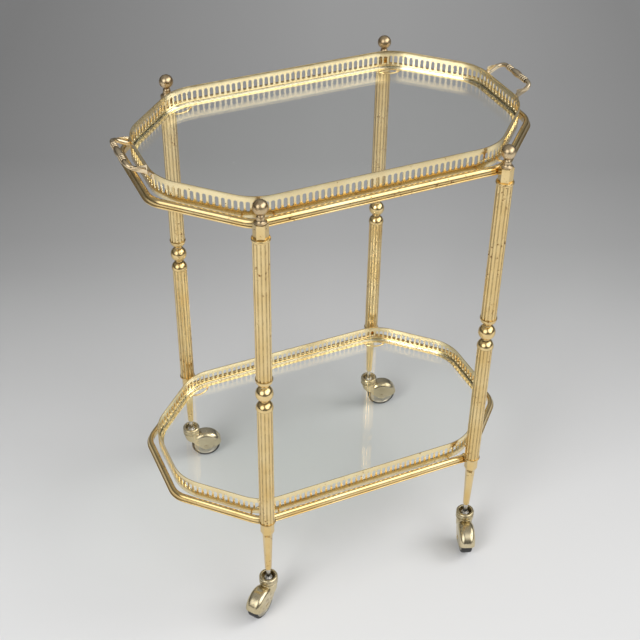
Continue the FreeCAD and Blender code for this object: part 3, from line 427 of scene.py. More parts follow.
def rim_section():
    """The rim's section, outwards from its inner face: a half round over a groove and bead."""
    inner = -RIM_SECTION
    crown = inner + RIM_ROUND
    low = 2 * RIM_BEAD + RIM_GROOVE
    points = arc(inner + RIM_EDGE, RIM_EDGE, RIM_EDGE, 270, 180, 3)
    points += arc(crown, RIM_HEIGHT - RIM_ROUND, RIM_ROUND, 180, 90, 8)
    points += [(crown + (RIM_SHOULDER - RIM_ROUND) * math.sin(a),
                low + (RIM_HEIGHT - low) * math.cos(a))
               for a in (math.radians(5 * n) for n in range(1, 18))]
    groove = inner + RIM_SHOULDER - RIM_GROOVE
    points += [(groove, low - 0.15), (groove, low - 0.4)]
    points += arc(-RIM_BEAD, RIM_BEAD, RIM_BEAD, 100, -90, 14)
    return points


RIM_SOIL = [(-RIM_SECTION + RIM_SHOULDER - RIM_GROOVE, 2.6, 1.3, 0.9)]


def tube(name, path, radii, count=12, sharp=60.0, dirty=None):
    """A round tube along points, with a radius for each point."""
    points = [Vector(p) for p in path]
    rings = []
    up = Vector((0, 0, 1))
    for n, here in enumerate(points):
        before = points[max(n - 1, 0)]
        after = points[min(n + 1, len(points) - 1)]
        ahead = (after - before).normalized()
        side = ahead.cross(up).normalized()
        rise = side.cross(ahead)
        rings.append([here + radii[n] * (math.cos(a) * side + math.sin(a) * rise)
                      for a in (2 * math.pi * k / count for k in range(count))])
    soil_and_shade = [share for share in dirty for k in range(count)] if dirty else None
    return stack(name, rings, sharp, soil_and_shade)


def inside_rim(x, y):
    """How far a point of the quarter at +x, +y is inside the rim's inner face."""
    side_x, side_y = bend_centres(RIM)[0]
    slant = (RIM["length"] + RIM["width"] - RIM["cut"]) * math.sqrt(0.5)
    angle = math.degrees(math.atan2(x - side_x, y - side_y))
    if 0 < angle < 45:
        return RIM["bend"] - RIM_SECTION - math.hypot(x - side_x, y - side_y)
    return min(RIM["length"] - x, RIM["width"] - y,
               slant - (x + y) * math.sqrt(0.5)) - RIM_SECTION


BRACKET_INTO_RIM = 0.8
BRACKET_STEPS = 240


def bracket_path():
    """The bent wire for the leg at +x, +y, whose ends run into the rim."""
    bearing = math.radians(LEG_BEARING)
    inside = RIM["bend"] - RIM_SECTION
    side_x, side_y = bend_centres(RIM)[0]
    centre_x = side_x + inside * math.sin(bearing)
    centre_y = side_y + inside * math.cos(bearing)
    points = []
    for step in range(BRACKET_STEPS + 1):
        angle = math.radians(90 - LEG_BEARING + 360 * step / BRACKET_STEPS)
        x = centre_x + BRACKET_RADIUS * math.cos(angle)
        y = centre_y + BRACKET_RADIUS * math.sin(angle)
        if inside_rim(x, y) > -BRACKET_INTO_RIM:
            points.append((x, y, BRACKET_Z))
    return points


SCREW_RADIUS = 3.0
SCREW_DOME = 1.85
SCREW_BASE = 0.3
SCREW_Z = 6.2
SCREW_SLOT = 0.45
SCREW_SLOT_DEPTH = 0.7
SCREW_SLOT_TURN = 0.4


def screw_mesh():
    """A slotted round head that stands on the rim's inner face, with +x into the rim."""
    count = 40
    rows = [(0.0, -SCREW_DOME - 0.05)]
    rows += [(SCREW_RADIUS * math.sin(math.radians(t)),
              -0.05 - SCREW_DOME * math.cos(math.radians(t))) for t in range(12, 91, 6)]
    rows += [(SCREW_RADIUS, SCREW_BASE)]
    verts = []
    for radius, x in rows:
        for n in range(count):
            a = 2 * math.pi * n / count
            y = radius * math.cos(a)
            z = radius * math.sin(a)
            slotted = abs(y + z * SCREW_SLOT_TURN) < SCREW_SLOT and radius < SCREW_RADIUS - 0.05
            verts.append((x + (SCREW_SLOT_DEPTH if slotted else 0.0), y, z))
    return new_mesh("rim_screw_head", verts, loop_faces(len(rows), count), 40.0)


def make_rims():
    """Both rims, each with four brackets for a tray and four screws into the collars."""
    wire = bracket_path()
    head = screw_mesh()
    inside = (RIM["bend"] - RIM_SECTION) * MM
    side_x, side_y = bend_centres(RIM)[0]
    for tier, z in RIM_Z.items():
        rim = sweep_outline(tier + "_rim_mesh", RIM, rim_section(), z, RIM_SOIL)
        add_piece("look_%s_rim" % tier, rim, BRASS, "frame", tier + "_rim")
        for leg, (sx, sy, trail) in LEGS.items():
            path = [(sx * x, sy * y, z + h) for x, y, h in wire]
            piece = tube("%s_%s_wire" % (tier, leg), path, [BRACKET_WIRE] * len(path))
            add_piece("look_%s_%s_bracket" % (tier, leg), piece, BRASS, "frame",
                      tier + "_brackets")
            bearing = math.atan2(sy * math.cos(math.radians(LEG_BEARING)),
                                 sx * math.sin(math.radians(LEG_BEARING)))
            centre = Vector((sx * side_x, sy * side_y, z + SCREW_Z)) * MM
            spot = (Matrix.Translation(centre) @ Matrix.Rotation(bearing, 4, "Z")
                    @ Matrix.Translation((inside, 0, 0)))
            add_piece("look_%s_%s_screw" % (tier, leg), head, STEEL, "frame", "rim_screws",
                      where=spot)


# ---- galleries and glass ----

def run_points(shape):
    """The front half's stretches from the middle of the left end to that of the right end.

    Each stretch is a start, a length, and the bearing of its outward side; a bend has a
    centre and turns 45 degrees on from that bearing.
    """
    (side_x, far_y), (far_x, end_y) = bend_centres(shape)
    slant = shape["cut"] * math.sqrt(2) - 2 * shape["bend"] * BEND_TAN
    bent = shape["bend"] * math.pi / 4
    corner = shape["bend"] * math.sqrt(0.5)
    return [("run", (-shape["length"], 0.0), end_y, 180.0),
            ("bend", (-far_x, -end_y), bent, 180.0),
            ("run", (-far_x - corner, -end_y - corner), slant, 225.0),
            ("bend", (-side_x, -far_y), bent, 225.0),
            ("run", (-side_x, -shape["width"]), 2 * side_x, 270.0),
            ("bend", (side_x, -far_y), bent, 270.0),
            ("run", (side_x + corner, -far_y - corner), slant, 315.0),
            ("bend", (far_x, -end_y), bent, 315.0),
            ("run", (shape["length"], -end_y), end_y, 0.0)]


def to_wall(stretch, along, inwards):
    """A point of the wall, at a distance along a stretch and inwards from its outside."""
    kind, (x, y), length, bearing = stretch
    if kind == "bend":
        a = math.radians(bearing + 45.0 * along / length)
        radius = TRAY["bend"] - inwards
        return x + radius * math.cos(a), y + radius * math.sin(a)
    a = math.radians(bearing)
    return (x - inwards * math.cos(a) - along * math.sin(a),
            y - inwards * math.sin(a) + along * math.cos(a))


def slot_rings(width):
    """A slot's oval and the rectangle round it, point by point, about the cell's middle."""
    radius = SLOT_WIDTH / 2
    straight = SLOT_HEIGHT / 2 - radius
    top = SLOT_HEIGHT / 2 + SLOT_MARGIN
    half = width / 2
    oval = arc(0, straight, radius, 180, 0, 12)
    oval += arc(0, -straight, radius, 0, -180, 12)
    side = [(-half, straight), (-half, straight + 0.9), (-half, straight + 2.0), (-half, top)]
    lid = [(half * share, top) for share in (-0.62, -0.28, 0.0, 0.28, 0.62)]
    upper = side + lid + [(-x, y) for x, y in reversed(side)]
    lower = [(-x, -y) for x, y in upper]
    return oval, upper + lower


# where dirt settles on the gallery: over its foot, under it and at the slots' lower ends
GALLERY_SOIL = [(WALL, FLANGE_THICK + 0.3, 1.6, 0.4), (0.0, 0.0, 1.4, 0.6),
                (0.7, SLOT_MIDDLE - SLOT_HEIGHT / 2, 1.2, 0.9)]


def gallery_mesh(name, z):
    """The front half of a pierced wall with oval slots, and its turned-in foot."""
    verts = []
    faces = []
    soil_and_shade = []
    top = SLOT_HEIGHT / 2 + SLOT_MARGIN
    head_section = [(0.0, SLOT_MIDDLE + top), (0.0, GALLERY_HEIGHT - 0.35),
                    (0.12, GALLERY_HEIGHT - 0.1), (0.4, GALLERY_HEIGHT),
                    (WALL - 0.4, GALLERY_HEIGHT), (WALL - 0.12, GALLERY_HEIGHT - 0.1),
                    (WALL, GALLERY_HEIGHT - 0.35), (WALL, SLOT_MIDDLE + top)]
    foot_section = [(WALL, SLOT_MIDDLE - top), (WALL, FLANGE_THICK + 0.5),
                    (WALL + 0.15, FLANGE_THICK + 0.15), (WALL + 0.5, FLANGE_THICK),
                    (FLANGE_WIDTH - 0.2, FLANGE_THICK), (FLANGE_WIDTH, FLANGE_THICK - 0.2),
                    (FLANGE_WIDTH, 0.2), (FLANGE_WIDTH - 0.2, 0.0), (1.0, 0.0), (0.3, 0.3),
                    (0.0, 1.0), (0.0, SLOT_MIDDLE - top)]

    def add(stretch, along, inwards, height):
        verts.append((*to_wall(stretch, along, inwards), z + height))
        soil_and_shade.append(settled(GALLERY_SOIL, inwards, height))
        return len(verts) - 1

    for stretch in run_points(TRAY):
        length = stretch[2]
        count = max(round(length / SLOT_PITCH), 1)
        pitch = length / count
        oval, box = slot_rings(pitch)
        size = len(oval)
        for cell in range(count):
            middle = (cell + 0.5) * pitch
            loops = {}
            for inwards in (0.0, WALL):
                ring = [add(stretch, middle + x, inwards, SLOT_MIDDLE + h) for x, h in oval]
                edge = [add(stretch, middle + x, inwards, SLOT_MIDDLE + h) for x, h in box]
                loops[inwards] = ring
                for n in range(size):
                    m = (n + 1) % size
                    faces.append((ring[n], ring[m], edge[m], edge[n]))
            for n in range(size):
                m = (n + 1) % size
                faces.append((loops[0.0][n], loops[0.0][m], loops[WALL][m], loops[WALL][n]))
            across = sorted({round(x, 6) for x, h in box if h == top})
            for path in (head_section, foot_section):
                rows = [[add(stretch, middle + x, inwards, h) for x in across]
                        for inwards, h in path]
                for above, below in zip(rows, rows[1:]):
                    for n in range(len(across) - 1):
                        faces.append((above[n], above[n + 1], below[n + 1], below[n]))
    return new_mesh(name, verts, faces, 35.0, soil_and_shade)


GLASS_ARRIS = ((0.5, 0.0), (0.12, 0.12), (0.0, 0.5), (0.0, GLASS_THICK - 0.5),
               (0.12, GLASS_THICK - 0.12), (0.5, GLASS_THICK))


def make_trays():
    """Both trays' galleries and glass plates, with ground edges on the glass."""
    for tier, rim_z in RIM_Z.items():
        body = "top_tray" if tier == "top" else "lower_tray"
        z = rim_z + TRAY_RISE
        half = gallery_mesh(tier + "_gallery_mesh", z)
        for side, turn in (("front", 0.0), ("back", math.pi)):
            add_piece("look_%s_gallery_%s" % (tier, side), half, GALLERY_BRASS_PAINTED_BRIGHT, body,
                      "%s_gallery_%s" % (tier, side), where=Matrix.Rotation(turn, 4, "Z"))
        low = z + FLANGE_THICK + GLASS_SEAT
        rings = [[(x, y, low + h) for x, y in outline(TRAY, -GLASS_GAP - inset)]
                 for inset, h in GLASS_ARRIS]
        plate = stack(tier + "_glass_mesh", rings, 6.0)
        plate.materials.append(GLASS)
        plate.materials.append(GLASS_EDGE)
        for face in plate.polygons:
            face.material_index = int(abs(face.normal.z) < 0.9)
        add_piece("look_%s_glass" % tier, plate, GLASS, body, tier + "_glass")


# ---- handles ----

HANDLE_Z = 699.1
# how steeply the handle rises, in degrees
HANDLE_RISE = 27.0
REACH = 29.3
ARM = 38.0
BEND = 11.0
FOOT_BEND = 8.0
TONGUE = 5.0
TONGUE_STEPS = 5
ROD = 3.2
GRIP_LENGTH = 10.5
GRIP_END = 3.6
GRIP_SWELL = 1.5
RING_RADIUS = 4.3
RING_HALF = 1.5
RING_START = 13.5
RING_PITCH = 4.3
RINGS = 3
# between these distances from the grip's middle, dirt lies in the grooves
RING_DIRT = (10.0, 25.5)
# the handle's feet: how thick they are where they start and end, and how much they spread
FOOT_THICK = 2.6
FOOT_THIN = 1.1
HANDLE_FOOT = 8.0
FOOT_SPREAD = 0.45
FOOT_GAP = 0.02
RIVET_BEARING = 12.0


def handle_path():
    """The rod's centreline in its own plane: outwards from the wall, and along it."""
    half = [(0.0, -(ARM + FOOT_BEND + TONGUE) + n * TONGUE / TONGUE_STEPS)
            for n in range(TONGUE_STEPS)]
    half += arc(FOOT_BEND, -(ARM + FOOT_BEND), FOOT_BEND, 180, 90, 12)
    half += arc(REACH - BEND, -(ARM - BEND), BEND, 270, 360, 14)
    steps = 220
    span = 2 * (ARM - BEND)
    grip = [(REACH, -(ARM - BEND) + span * n / steps) for n in range(1, steps)]
    return half + grip + [(u, -v) for u, v in reversed(half)]


def grip_radius(y):
    """The grip's radius: a swelling in the middle and three rings on both sides of it."""
    y = abs(y)
    if y < GRIP_LENGTH:
        return GRIP_END + GRIP_SWELL * (1 - (y / GRIP_LENGTH) ** 2)
    for ring in range(RINGS):
        off = (y - RING_START - ring * RING_PITCH) / RING_HALF
        if abs(off) < 1:
            return ROD + (RING_RADIUS - ROD) * math.sqrt(1 - off ** 2)
    return ROD


def wall_distance(x, y):
    """How far a point is outside the tray's end, and the direction away from it."""
    far_x, end_y = bend_centres(TRAY)[1]
    if abs(y) <= end_y:
        return x - TRAY["length"], Vector((1, 0))
    away = Vector((x - far_x, y - math.copysign(end_y, y)))
    return away.length - TRAY["bend"], away.normalized()


def make_handles():
    """Both handles with flattened feet that follow the wall, and a rivet through each foot."""
    slope = math.radians(HANDLE_RISE)
    far_x, end_y = bend_centres(TRAY)[1]
    path = handle_path()
    centre = [(TRAY["length"] + u * math.cos(slope), v, HANDLE_Z + u * math.sin(slope))
              for u, v in path]
    radii = [grip_radius(v) if u >= REACH - 1e-6 else ROD for u, v in path]
    dirty = [1.0 if RING_DIRT[0] < abs(v) < RING_DIRT[1] and r < ROD + 0.25 else 0.0
             for (u, v), r in zip(path, radii)]
    mesh = tube("handle_mesh", centre, radii, 24, sharp=50.0, dirty=dirty)
    for vert in mesh.vertices:
        x, y, z = vert.co / MM
        reach = max(0.0, min(1.0, (abs(y) - ARM - 2.0) / HANDLE_FOOT))
        distance, away = wall_distance(x, y)
        thin = FOOT_THICK - FOOT_THIN * reach
        wanted = max(FOOT_GAP, min(distance, thin) if reach > 0 else distance)
        move = (wanted - distance) * away
        z = HANDLE_Z + (z - HANDLE_Z) * (1 + FOOT_SPREAD * reach)
        vert.co = Vector((x + move.x, y + move.y, z)) * MM
    head = lathe("rivet_mesh", [(0.0, 0.9), (0.9, 0.82), (1.5, 0.5), (1.8, 0.0), (1.7, -0.4)],
                 24, 60.0)
    for side, turn in (("right", 0.0), ("left", math.pi)):
        spin = Matrix.Rotation(turn, 4, "Z")
        add_piece("look_handle_" + side, mesh, HANDLE_BRASS, "top_tray", "handle_" + side,
                  where=spin)
        for way in (-1, 1):
            bearing = math.radians(way * RIVET_BEARING)
            outside = FOOT_THICK - FOOT_THIN
            for face, name, flip in ((outside, "outer", 0.0), (-WALL, "inner", math.pi)):
                radius = TRAY["bend"] + face
                spot = Vector((far_x + radius * math.cos(bearing),
                               way * end_y + radius * math.sin(bearing), HANDLE_Z)) * MM
                lean = Matrix.Rotation(bearing + flip, 4, "Z") @ Matrix.Rotation(
                    math.pi / 2, 4, "Y")
                add_piece("look_rivet_%s_%s_%s" % (side, "ab"[way > 0], name), head, BRASS,
                          "top_tray", "handle_rivets",
                          where=spin @ Matrix.Translation(spot) @ lean)


# ---- legs ----

def rounded(points, radius):
    """A turned profile with its inner corners eased by a small radius."""
    steps = 3
    result = [points[0]]
    for before, here, after in zip(points, points[1:], points[2:]):
        a = Vector(before) - Vector(here)
        b = Vector(after) - Vector(here)
        cut = min(radius, a.length * 0.4, b.length * 0.4)
        first = Vector(here) + a.normalized() * cut
        last = Vector(here) + b.normalized() * cut
        for n in range(steps + 1):
            t = n / steps
            spot = (1 - t) ** 2 * first + 2 * t * (1 - t) * Vector(here) + t * t * last
            result.append((spot.x, spot.y))
    result.append(points[-1])
    return result


FINIAL_BALL = 9.8
FINIAL_NECK = 3.2
FINIAL_NECK_Z = 11.8
FINIAL_SKIRT = 8.3
FINIAL_WAIST = 5.4
FINIAL_WAIST_Z = 7.0


def finial_mesh():
    """A ball on a thin neck over a bulge and a flared skirt."""
    ball_z = FINIAL_NECK_Z + math.sqrt(FINIAL_BALL ** 2 - FINIAL_NECK ** 2)
    start = -math.degrees(math.acos(FINIAL_NECK / FINIAL_BALL))
    profile = rounded([(0.0, 0.0), (FINIAL_SKIRT, 0.0), (FINIAL_SKIRT, 1.2)], 0.4)
    profile += arc(FINIAL_WAIST + 7.25, FINIAL_WAIST_Z, 7.25, 233, 180, 10)
    profile += arc(FINIAL_WAIST - 6.34, FINIAL_WAIST_Z, 6.34, 2, 49, 10)
    profile += arc(0.0, ball_z, FINIAL_BALL, start, 89.9, 32)
    profile += [(0.0, ball_z + FINIAL_BALL)]
    return lathe("finial_mesh", profile, 72, 40.0,
                 [(FINIAL_NECK, FINIAL_NECK_Z, 2.2, 1.0), (FINIAL_SKIRT, 0.0, 1.0, 1.0),
                  (7.2, 1.8, 1.6, 0.6)])


KNOP_HEIGHT = 52.0
KNOP_DOME = 12.0
KNOP_RIM = 0.9
KNOP_BALL = 12.2
KNOP_NECK = 5.4
KNOP_NECK_Z = 11.6


def knop_mesh():
    """A ball between two domes."""
    dome = math.degrees(math.acos(KNOP_NECK / KNOP_DOME))
    ball = math.degrees(math.acos(KNOP_NECK / KNOP_BALL))
    low = [(0.0, 0.0)]
    low += rounded([(8.0, 0.0), (KNOP_DOME, 0.0), (KNOP_DOME, KNOP_RIM)], 0.4)
    low += arc(0.0, KNOP_RIM, KNOP_DOME, 3, dome, 16)
    middle = arc(0.0, KNOP_HEIGHT / 2, KNOP_BALL, -ball, ball, 32)
    high = [(r, KNOP_HEIGHT - h) for r, h in reversed(low)]
    return lathe("knop_mesh", low + middle + high, 72, 40.0,
                 [(KNOP_NECK, KNOP_NECK_Z, 2.6, 1.0),
                  (KNOP_NECK, KNOP_HEIGHT - KNOP_NECK_Z, 2.6, 1.0),
                  (KNOP_DOME, 0.0, 1.1, 1.0), (KNOP_DOME, KNOP_HEIGHT, 1.1, 1.0)])


COLUMN_RADIUS = 11.0
COLUMN_LENGTH = 214.5
FLUTES = 12
FLUTE_RADIUS = 4.0
FLUTE_CENTRE = 14.3
FLUTE_SPREAD = 38
# painted shade and dirt start inside this radius and thicken to their most over a depth; the
# flutes' dark bottoms stand in for shade in the hollows as well as dirt
FLUTE_SHADE_AND_DIRT = 10.6
FLUTE_SHADE_AND_DIRT_DEPTH = 0.5
FLUTE_SHADE_AND_DIRT_MOST = 0.5


def column_mesh():
    """A tube with hollow flutes, whose bottoms carry a share of dirt and painted shade."""
    ring = []
    hollow = arc(FLUTE_CENTRE, 0.0, FLUTE_RADIUS, 180 + FLUTE_SPREAD, 180 - FLUTE_SPREAD, 8)
    hollow = [p for p in hollow if math.hypot(*p) <= COLUMN_RADIUS]
    edge = math.degrees(math.atan2(abs(hollow[0][1]), hollow[0][0]))
    land = 180.0 / FLUTES - edge
    before = [(COLUMN_RADIUS * math.cos(a), COLUMN_RADIUS * math.sin(a))
              for a in (math.radians(-edge - land * share) for share in (0.9, 0.45, 0.08))]
    points = before + hollow + [(x, -y) for x, y in reversed(before)]
    for number in range(FLUTES):
        a = math.radians(360.0 * number / FLUTES)
        ring += [(x * math.cos(a) - y * math.sin(a), x * math.sin(a) + y * math.cos(a))
                 for x, y in points]
    rings = [[(x, y, h) for x, y in ring] for h in (0.0, COLUMN_LENGTH)]
    # the flutes' bottoms get the dark tone: dirt, and painted shade standing in for the shade
    # in the hollows
    depths = [(FLUTE_SHADE_AND_DIRT - math.hypot(x, y)) / FLUTE_SHADE_AND_DIRT_DEPTH for x, y in ring]
    soil_and_shade = [max(0.0, min(FLUTE_SHADE_AND_DIRT_MOST, depth)) for depth in depths] * 2
    return stack("column_mesh", rings, 24.0, soil_and_shade)


def prism(name, sections):
    """A skin over regular hexagons, each given across flats and at a height."""
    rings = [[(x, y, h) for x, y in hexagon(flats)] for flats, h in sections]
    return stack(name, rings, 15.0)


def ring_mesh(name, radius, low, high):
    """A turned ring with a soft outer edge."""
    middle = (low + high) / 2
    half = (high - low) / 2
    edge = [(radius - half * 0.5 * (1 - math.cos(a)), middle + half * math.sin(a))
            for a in (math.radians(-90 + 15 * n) for n in range(13))]
    return lathe(name, [(0.0, low)] + edge + [(0.0, high)], 64, 40.0,
                 [(radius, low, 1.0, 0.9), (radius, high, 1.0, 0.9)])


STEM_Z = 52.8
FOOT_Z = 76.5
FOOT_HEIGHT = 100.0
FOOT_RING = 2.5
COLLAR_ACROSS = 17.4
COLLAR_HEIGHT = 25.0
COLLAR_RING = 4.5
LEG_RING_RADIUS = 12.2
STEM_RADIUS = 3.3
STEM_LENGTH = 24.5
FOOT_RING_Z = FOOT_Z + FOOT_HEIGHT
LOWER_COLUMN_Z = FOOT_RING_Z + FOOT_RING
KNOP_Z = LOWER_COLUMN_Z + COLUMN_LENGTH
UPPER_COLUMN_Z = KNOP_Z + KNOP_HEIGHT
COLLAR_Z = UPPER_COLUMN_Z + COLUMN_LENGTH
FINIAL_Z = COLLAR_Z + COLLAR_HEIGHT


def make_legs():
    """Each leg's turned and hexagonal pieces, stood on its axis from finial to stem."""
    finial = finial_mesh()
    knop = knop_mesh()
    column = column_mesh()
    collar = prism("collar_mesh", [(COLLAR_ACROSS, COLLAR_RING),
                                   (COLLAR_ACROSS, COLLAR_HEIGHT - 0.6),
                                   (COLLAR_ACROSS - 1.0, COLLAR_HEIGHT)])
    collar_ring = ring_mesh("collar_ring_mesh", LEG_RING_RADIUS, 0.0, COLLAR_RING)
    foot = prism("foot_mesh", [(8.6, 0.0), (12.6, 73.0), (COLLAR_ACROSS, 80.0),
                               (COLLAR_ACROSS, FOOT_HEIGHT)])
    foot_ring = ring_mesh("foot_ring_mesh", LEG_RING_RADIUS, 0.0, FOOT_RING)
    pin = [(0.0, 0.0), (STEM_RADIUS, 0.0), (STEM_RADIUS, STEM_LENGTH), (0.0, STEM_LENGTH)]
    stem = lathe("stem_mesh", rounded(pin, 0.2), 48)
    nut = prism("nut_mesh", [(10.6, 0.0), (11.5, 0.5), (11.5, 5.0), (10.2, 5.5)])
    stood = [("finial", finial, FINIAL_Z, FINIAL_BRASS, 0.0, "finial"),
             ("top_collar", collar, COLLAR_Z, BRASS, 0.5, "top_collar"),
             ("collar_ring", collar_ring, COLLAR_Z, BRASS, 0.0, "top_collar"),
             ("upper_column", column, UPPER_COLUMN_Z, BRASS, 0.0, "upper_column"),
             ("knop", knop, KNOP_Z, BRASS, 0.0, "knop"),
             ("lower_column", column, LOWER_COLUMN_Z, BRASS, 0.0, "lower_column"),
             ("foot_ring", foot_ring, FOOT_RING_Z, BRASS, 0.0, "foot"),
             ("foot", foot, FOOT_Z, BRASS, 0.5, "foot"),
             ("stem", stem, STEM_Z, STEEL, 0.0, "caster_stem"),
             ("nut", nut, STEM_Z, STEEL, 0.2, "caster_stem")]
    for leg in LEGS:
        for name, mesh, z, material, bevel, replaced in stood:
            add_piece("look_%s_%s" % (leg, name), mesh, material, "frame",
                      "%s_%s" % (leg, replaced), where=leg_place(leg, z), bevel=bevel)


# ---- casters ----

def about_axle(mesh):
    """Turns a lathe mesh from the Z axis to the caster's axle."""
    turn = Matrix.Translation((TRAIL * MM, 0, AXLE_Z * MM)) @ Matrix.Rotation(
        math.pi / 2, 4, "X")
    mesh.transform(turn)
    return mesh


HOOD_RADIUS = 26.6
HOOD_HALF = 12.7
HOOD_SHOULDER = 8.6
HOOD_WALL = 1.8
HOOD_GRAIN = 0.55
NECK_RADIUS = 12.9
NECK_LOW = 20.0
NECK_HIGH = 49.0
# the round boss that is left of the cheek, and where its cuts start in front and behind
BOSS_RADIUS = 7.2
REAR_CUT = (26.6, 3.4)
FRONT_CUT = (16.2, 4.0)
NECK_CUT = 12.2
NECK_CUT_Z = 48.8


def drum_profile(radius, half, shoulder):
    """A drum with rounded shoulders, as a lathe profile from its lower to its upper face."""
    return ([(0.0, -half)] + arc(radius - shoulder, -half + shoulder, shoulder, -90, 0, 12)
            + arc(radius - shoulder, half - shoulder, shoulder, 0, 90, 12) + [(0.0, half)])


def temporary(name, mesh):
    """An object that only shapes another one."""
    obj = bpy.data.objects.new(name, mesh)
    bpy.context.scene.collection.objects.link(obj)
    return obj


def apply_modifiers(obj):
    """The mesh of an object with its modifiers applied; the object goes."""
    graph = bpy.context.evaluated_depsgraph_get()
    mesh = bpy.data.meshes.new_from_object(obj.evaluated_get(graph))
    bpy.data.objects.remove(obj)
    return mesh


def extruded(name, points, half):
    """A solid with an outline in the XZ plane, between -half and half along Y."""
    rings = [[(x, y, z) for x, z in points] for y in (-half, half)]
    return stack(name, rings, 30.0)


def cheek_outline():
    """What is cut away below the hood, seen from the side."""
    rear, rear_z = REAR_CUT
    front, front_z = FRONT_CUT
    fall = math.atan2(rear_z, rear) + math.asin(BOSS_RADIUS / math.hypot(rear_z, rear))
    climb = math.atan2(front_z, front) + math.asin(BOSS_RADIUS / math.hypot(front_z, front))
    start = -90 + math.degrees(fall)
    end = -90 - math.degrees(climb)
    points = [(-60.0, -30.0), (110.0, -30.0), (110.0, AXLE_Z + rear_z),
              (TRAIL + rear, AXLE_Z + rear_z)]
    points += arc(TRAIL, AXLE_Z, BOSS_RADIUS, start, end, 12)
    points += [(TRAIL - front, AXLE_Z + front_z)]
    foot = math.sqrt(NECK_CUT ** 2 - 1.6 ** 2)
    first = -math.degrees(math.atan2(foot, 1.6))
    points += arc(0.0, NECK_CUT_Z, NECK_CUT, first - 8, -180, 12)
    points += [(-60.0, NECK_CUT_Z)]
    return points


def hood_mesh():
    """A cast shell over the wheel, with its neck, smoothed like a casting."""
    drum = lathe("drum", drum_profile(HOOD_RADIUS, HOOD_HALF, HOOD_SHOULDER))
    shell = temporary("hood_shell", about_axle(drum))
    neck = temporary("hood_neck", lathe("neck", [(0.0, NECK_LOW), (NECK_RADIUS, NECK_LOW),
                                                 (NECK_RADIUS, NECK_HIGH), (0.0, NECK_HIGH)]))
    cavity = lathe("cavity", drum_profile(HOOD_RADIUS - HOOD_WALL, 10.5, 6.6))
    hollow = temporary("hood_hollow", about_axle(cavity))
    below = temporary("hood_below", extruded("below", cheek_outline(), 40.0))
    for tool, kind in ((neck, "UNION"), (hollow, "DIFFERENCE"), (below, "DIFFERENCE")):
        cut = shell.modifiers.new(kind, "BOOLEAN")
        cut.operation = kind
        cut.object = tool
        cut.solver = "EXACT"
    remesh = shell.modifiers.new("grain", "REMESH")
    remesh.mode = "VOXEL"
    remesh.voxel_size = HOOD_GRAIN * MM
    smooth = shell.modifiers.new("smooth", "SMOOTH")
    smooth.factor = 0.5
    smooth.iterations = 4
    mesh = apply_modifiers(shell)
    for tool in (neck, hollow, below):
        bpy.data.objects.remove(tool)
    mesh.shade_smooth()
    return mesh


def cup_mesh():
    """The ringed cup on the neck, hollow on top for the nut."""
    profile = [(11.0, 47.6), (12.9, 48.4)]
    profile += arc(13.1, 49.7, 0.9, -90, 90, 6)
    profile += [(13.1, 50.6), (12.9, 51.5)]
    profile += arc(13.1, 52.4, 0.9, -90, 0, 4)
    profile += [(14.0, 53.0), (14.0, 56.6)]
    profile += arc(13.6, 57.0, 0.4, -30, 60, 3)
    profile += [(13.45, 57.8)]
    profile += arc(11.0, 59.0, 3.0, 5, 90, 8)
    profile += [(10.4, 62.0), (9.8, 61.6), (9.6, 60.8), (9.6, 53.0), (9.2, 52.5), (0.0, 52.5)]
    return lathe("cup_mesh", profile, 64, 35.0,
                 [(12.9, 48.3, 0.9, 1.0), (12.8, 51.0, 1.0, 1.0), (13.5, 57.7, 0.7, 1.0),
                  (9.4, 54.0, 6.0, 1.0)])


# half of each wheel piece's section as radius and height, from its outer face to the middle
AXLE_HEAD = [(0.0, 14.0), (1.6, 13.95), (2.9, 13.6), (3.7, 13.0), (3.8, 12.7), (2.5, 12.6)]
HUB_SIDE = [(2.56, 10.1), (6.0, 10.1), (6.5, 9.8), (7.2, 8.0), (8.6, 6.6), (15.0, 6.4),
            (17.2, 7.2), (18.4, 8.5), (19.4, 8.5), (19.8, 8.1)]
TYRE_RADIUS = 23.8
TYRE_HALF = 8.3
TYRE_SHOULDER = 3.0


def make_casters():
    """Four casters: hood, cup and axle on the swivel, hub and tyre on the wheel."""
    hood = hood_mesh()
    cup = cup_mesh()
    axle = about_axle(lathe("axle_mesh", mirrored(AXLE_HEAD), 40))
    hub = about_axle(lathe("hub_mesh", mirrored(HUB_SIDE), 72))
    band = [(19.8, TYRE_HALF - 0.2), (20.3, TYRE_HALF)]
    band += arc(TYRE_RADIUS - TYRE_SHOULDER, TYRE_HALF - TYRE_SHOULDER, TYRE_SHOULDER, 90, 0,
                10)
    tyre = about_axle(lathe("tyre_mesh", mirrored(band), 96))
    for leg, (sx, sy, trail) in LEGS.items():
        spot = leg_place(leg, 0.0, trail)
        swivel = leg + "_swivel"
        wheel = leg + "_wheel"
        add_piece("look_%s_hood" % leg, hood, CASTER_BRASS, swivel, leg + "_hood", where=spot)
        add_piece("look_%s_cup" % leg, cup, CASTER_BRASS, swivel, leg + "_hood", where=spot)
        add_piece("look_%s_axle" % leg, axle, CASTER_BRASS, swivel, leg + "_axle", where=spot)
        add_piece("look_%s_hub" % leg, hub, HUB_METAL, wheel, leg + "_hub", where=spot)
        add_piece("look_%s_tyre" % leg, tyre, RUBBER, wheel, leg + "_tyre", where=spot)


make_rims()
make_trays()
make_handles()
make_legs()
make_casters()
for cad_name, cad_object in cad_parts.items():
    if not cad_object.hide_render:
        cad_object.data.materials.clear()
        cad_object.data.materials.append(STEEL)


# ---- studio ----

# half the floor's side in metres, and how far its shading is turned, in degrees
FLOOR = 9.0
FLOOR_TURN = 24.3
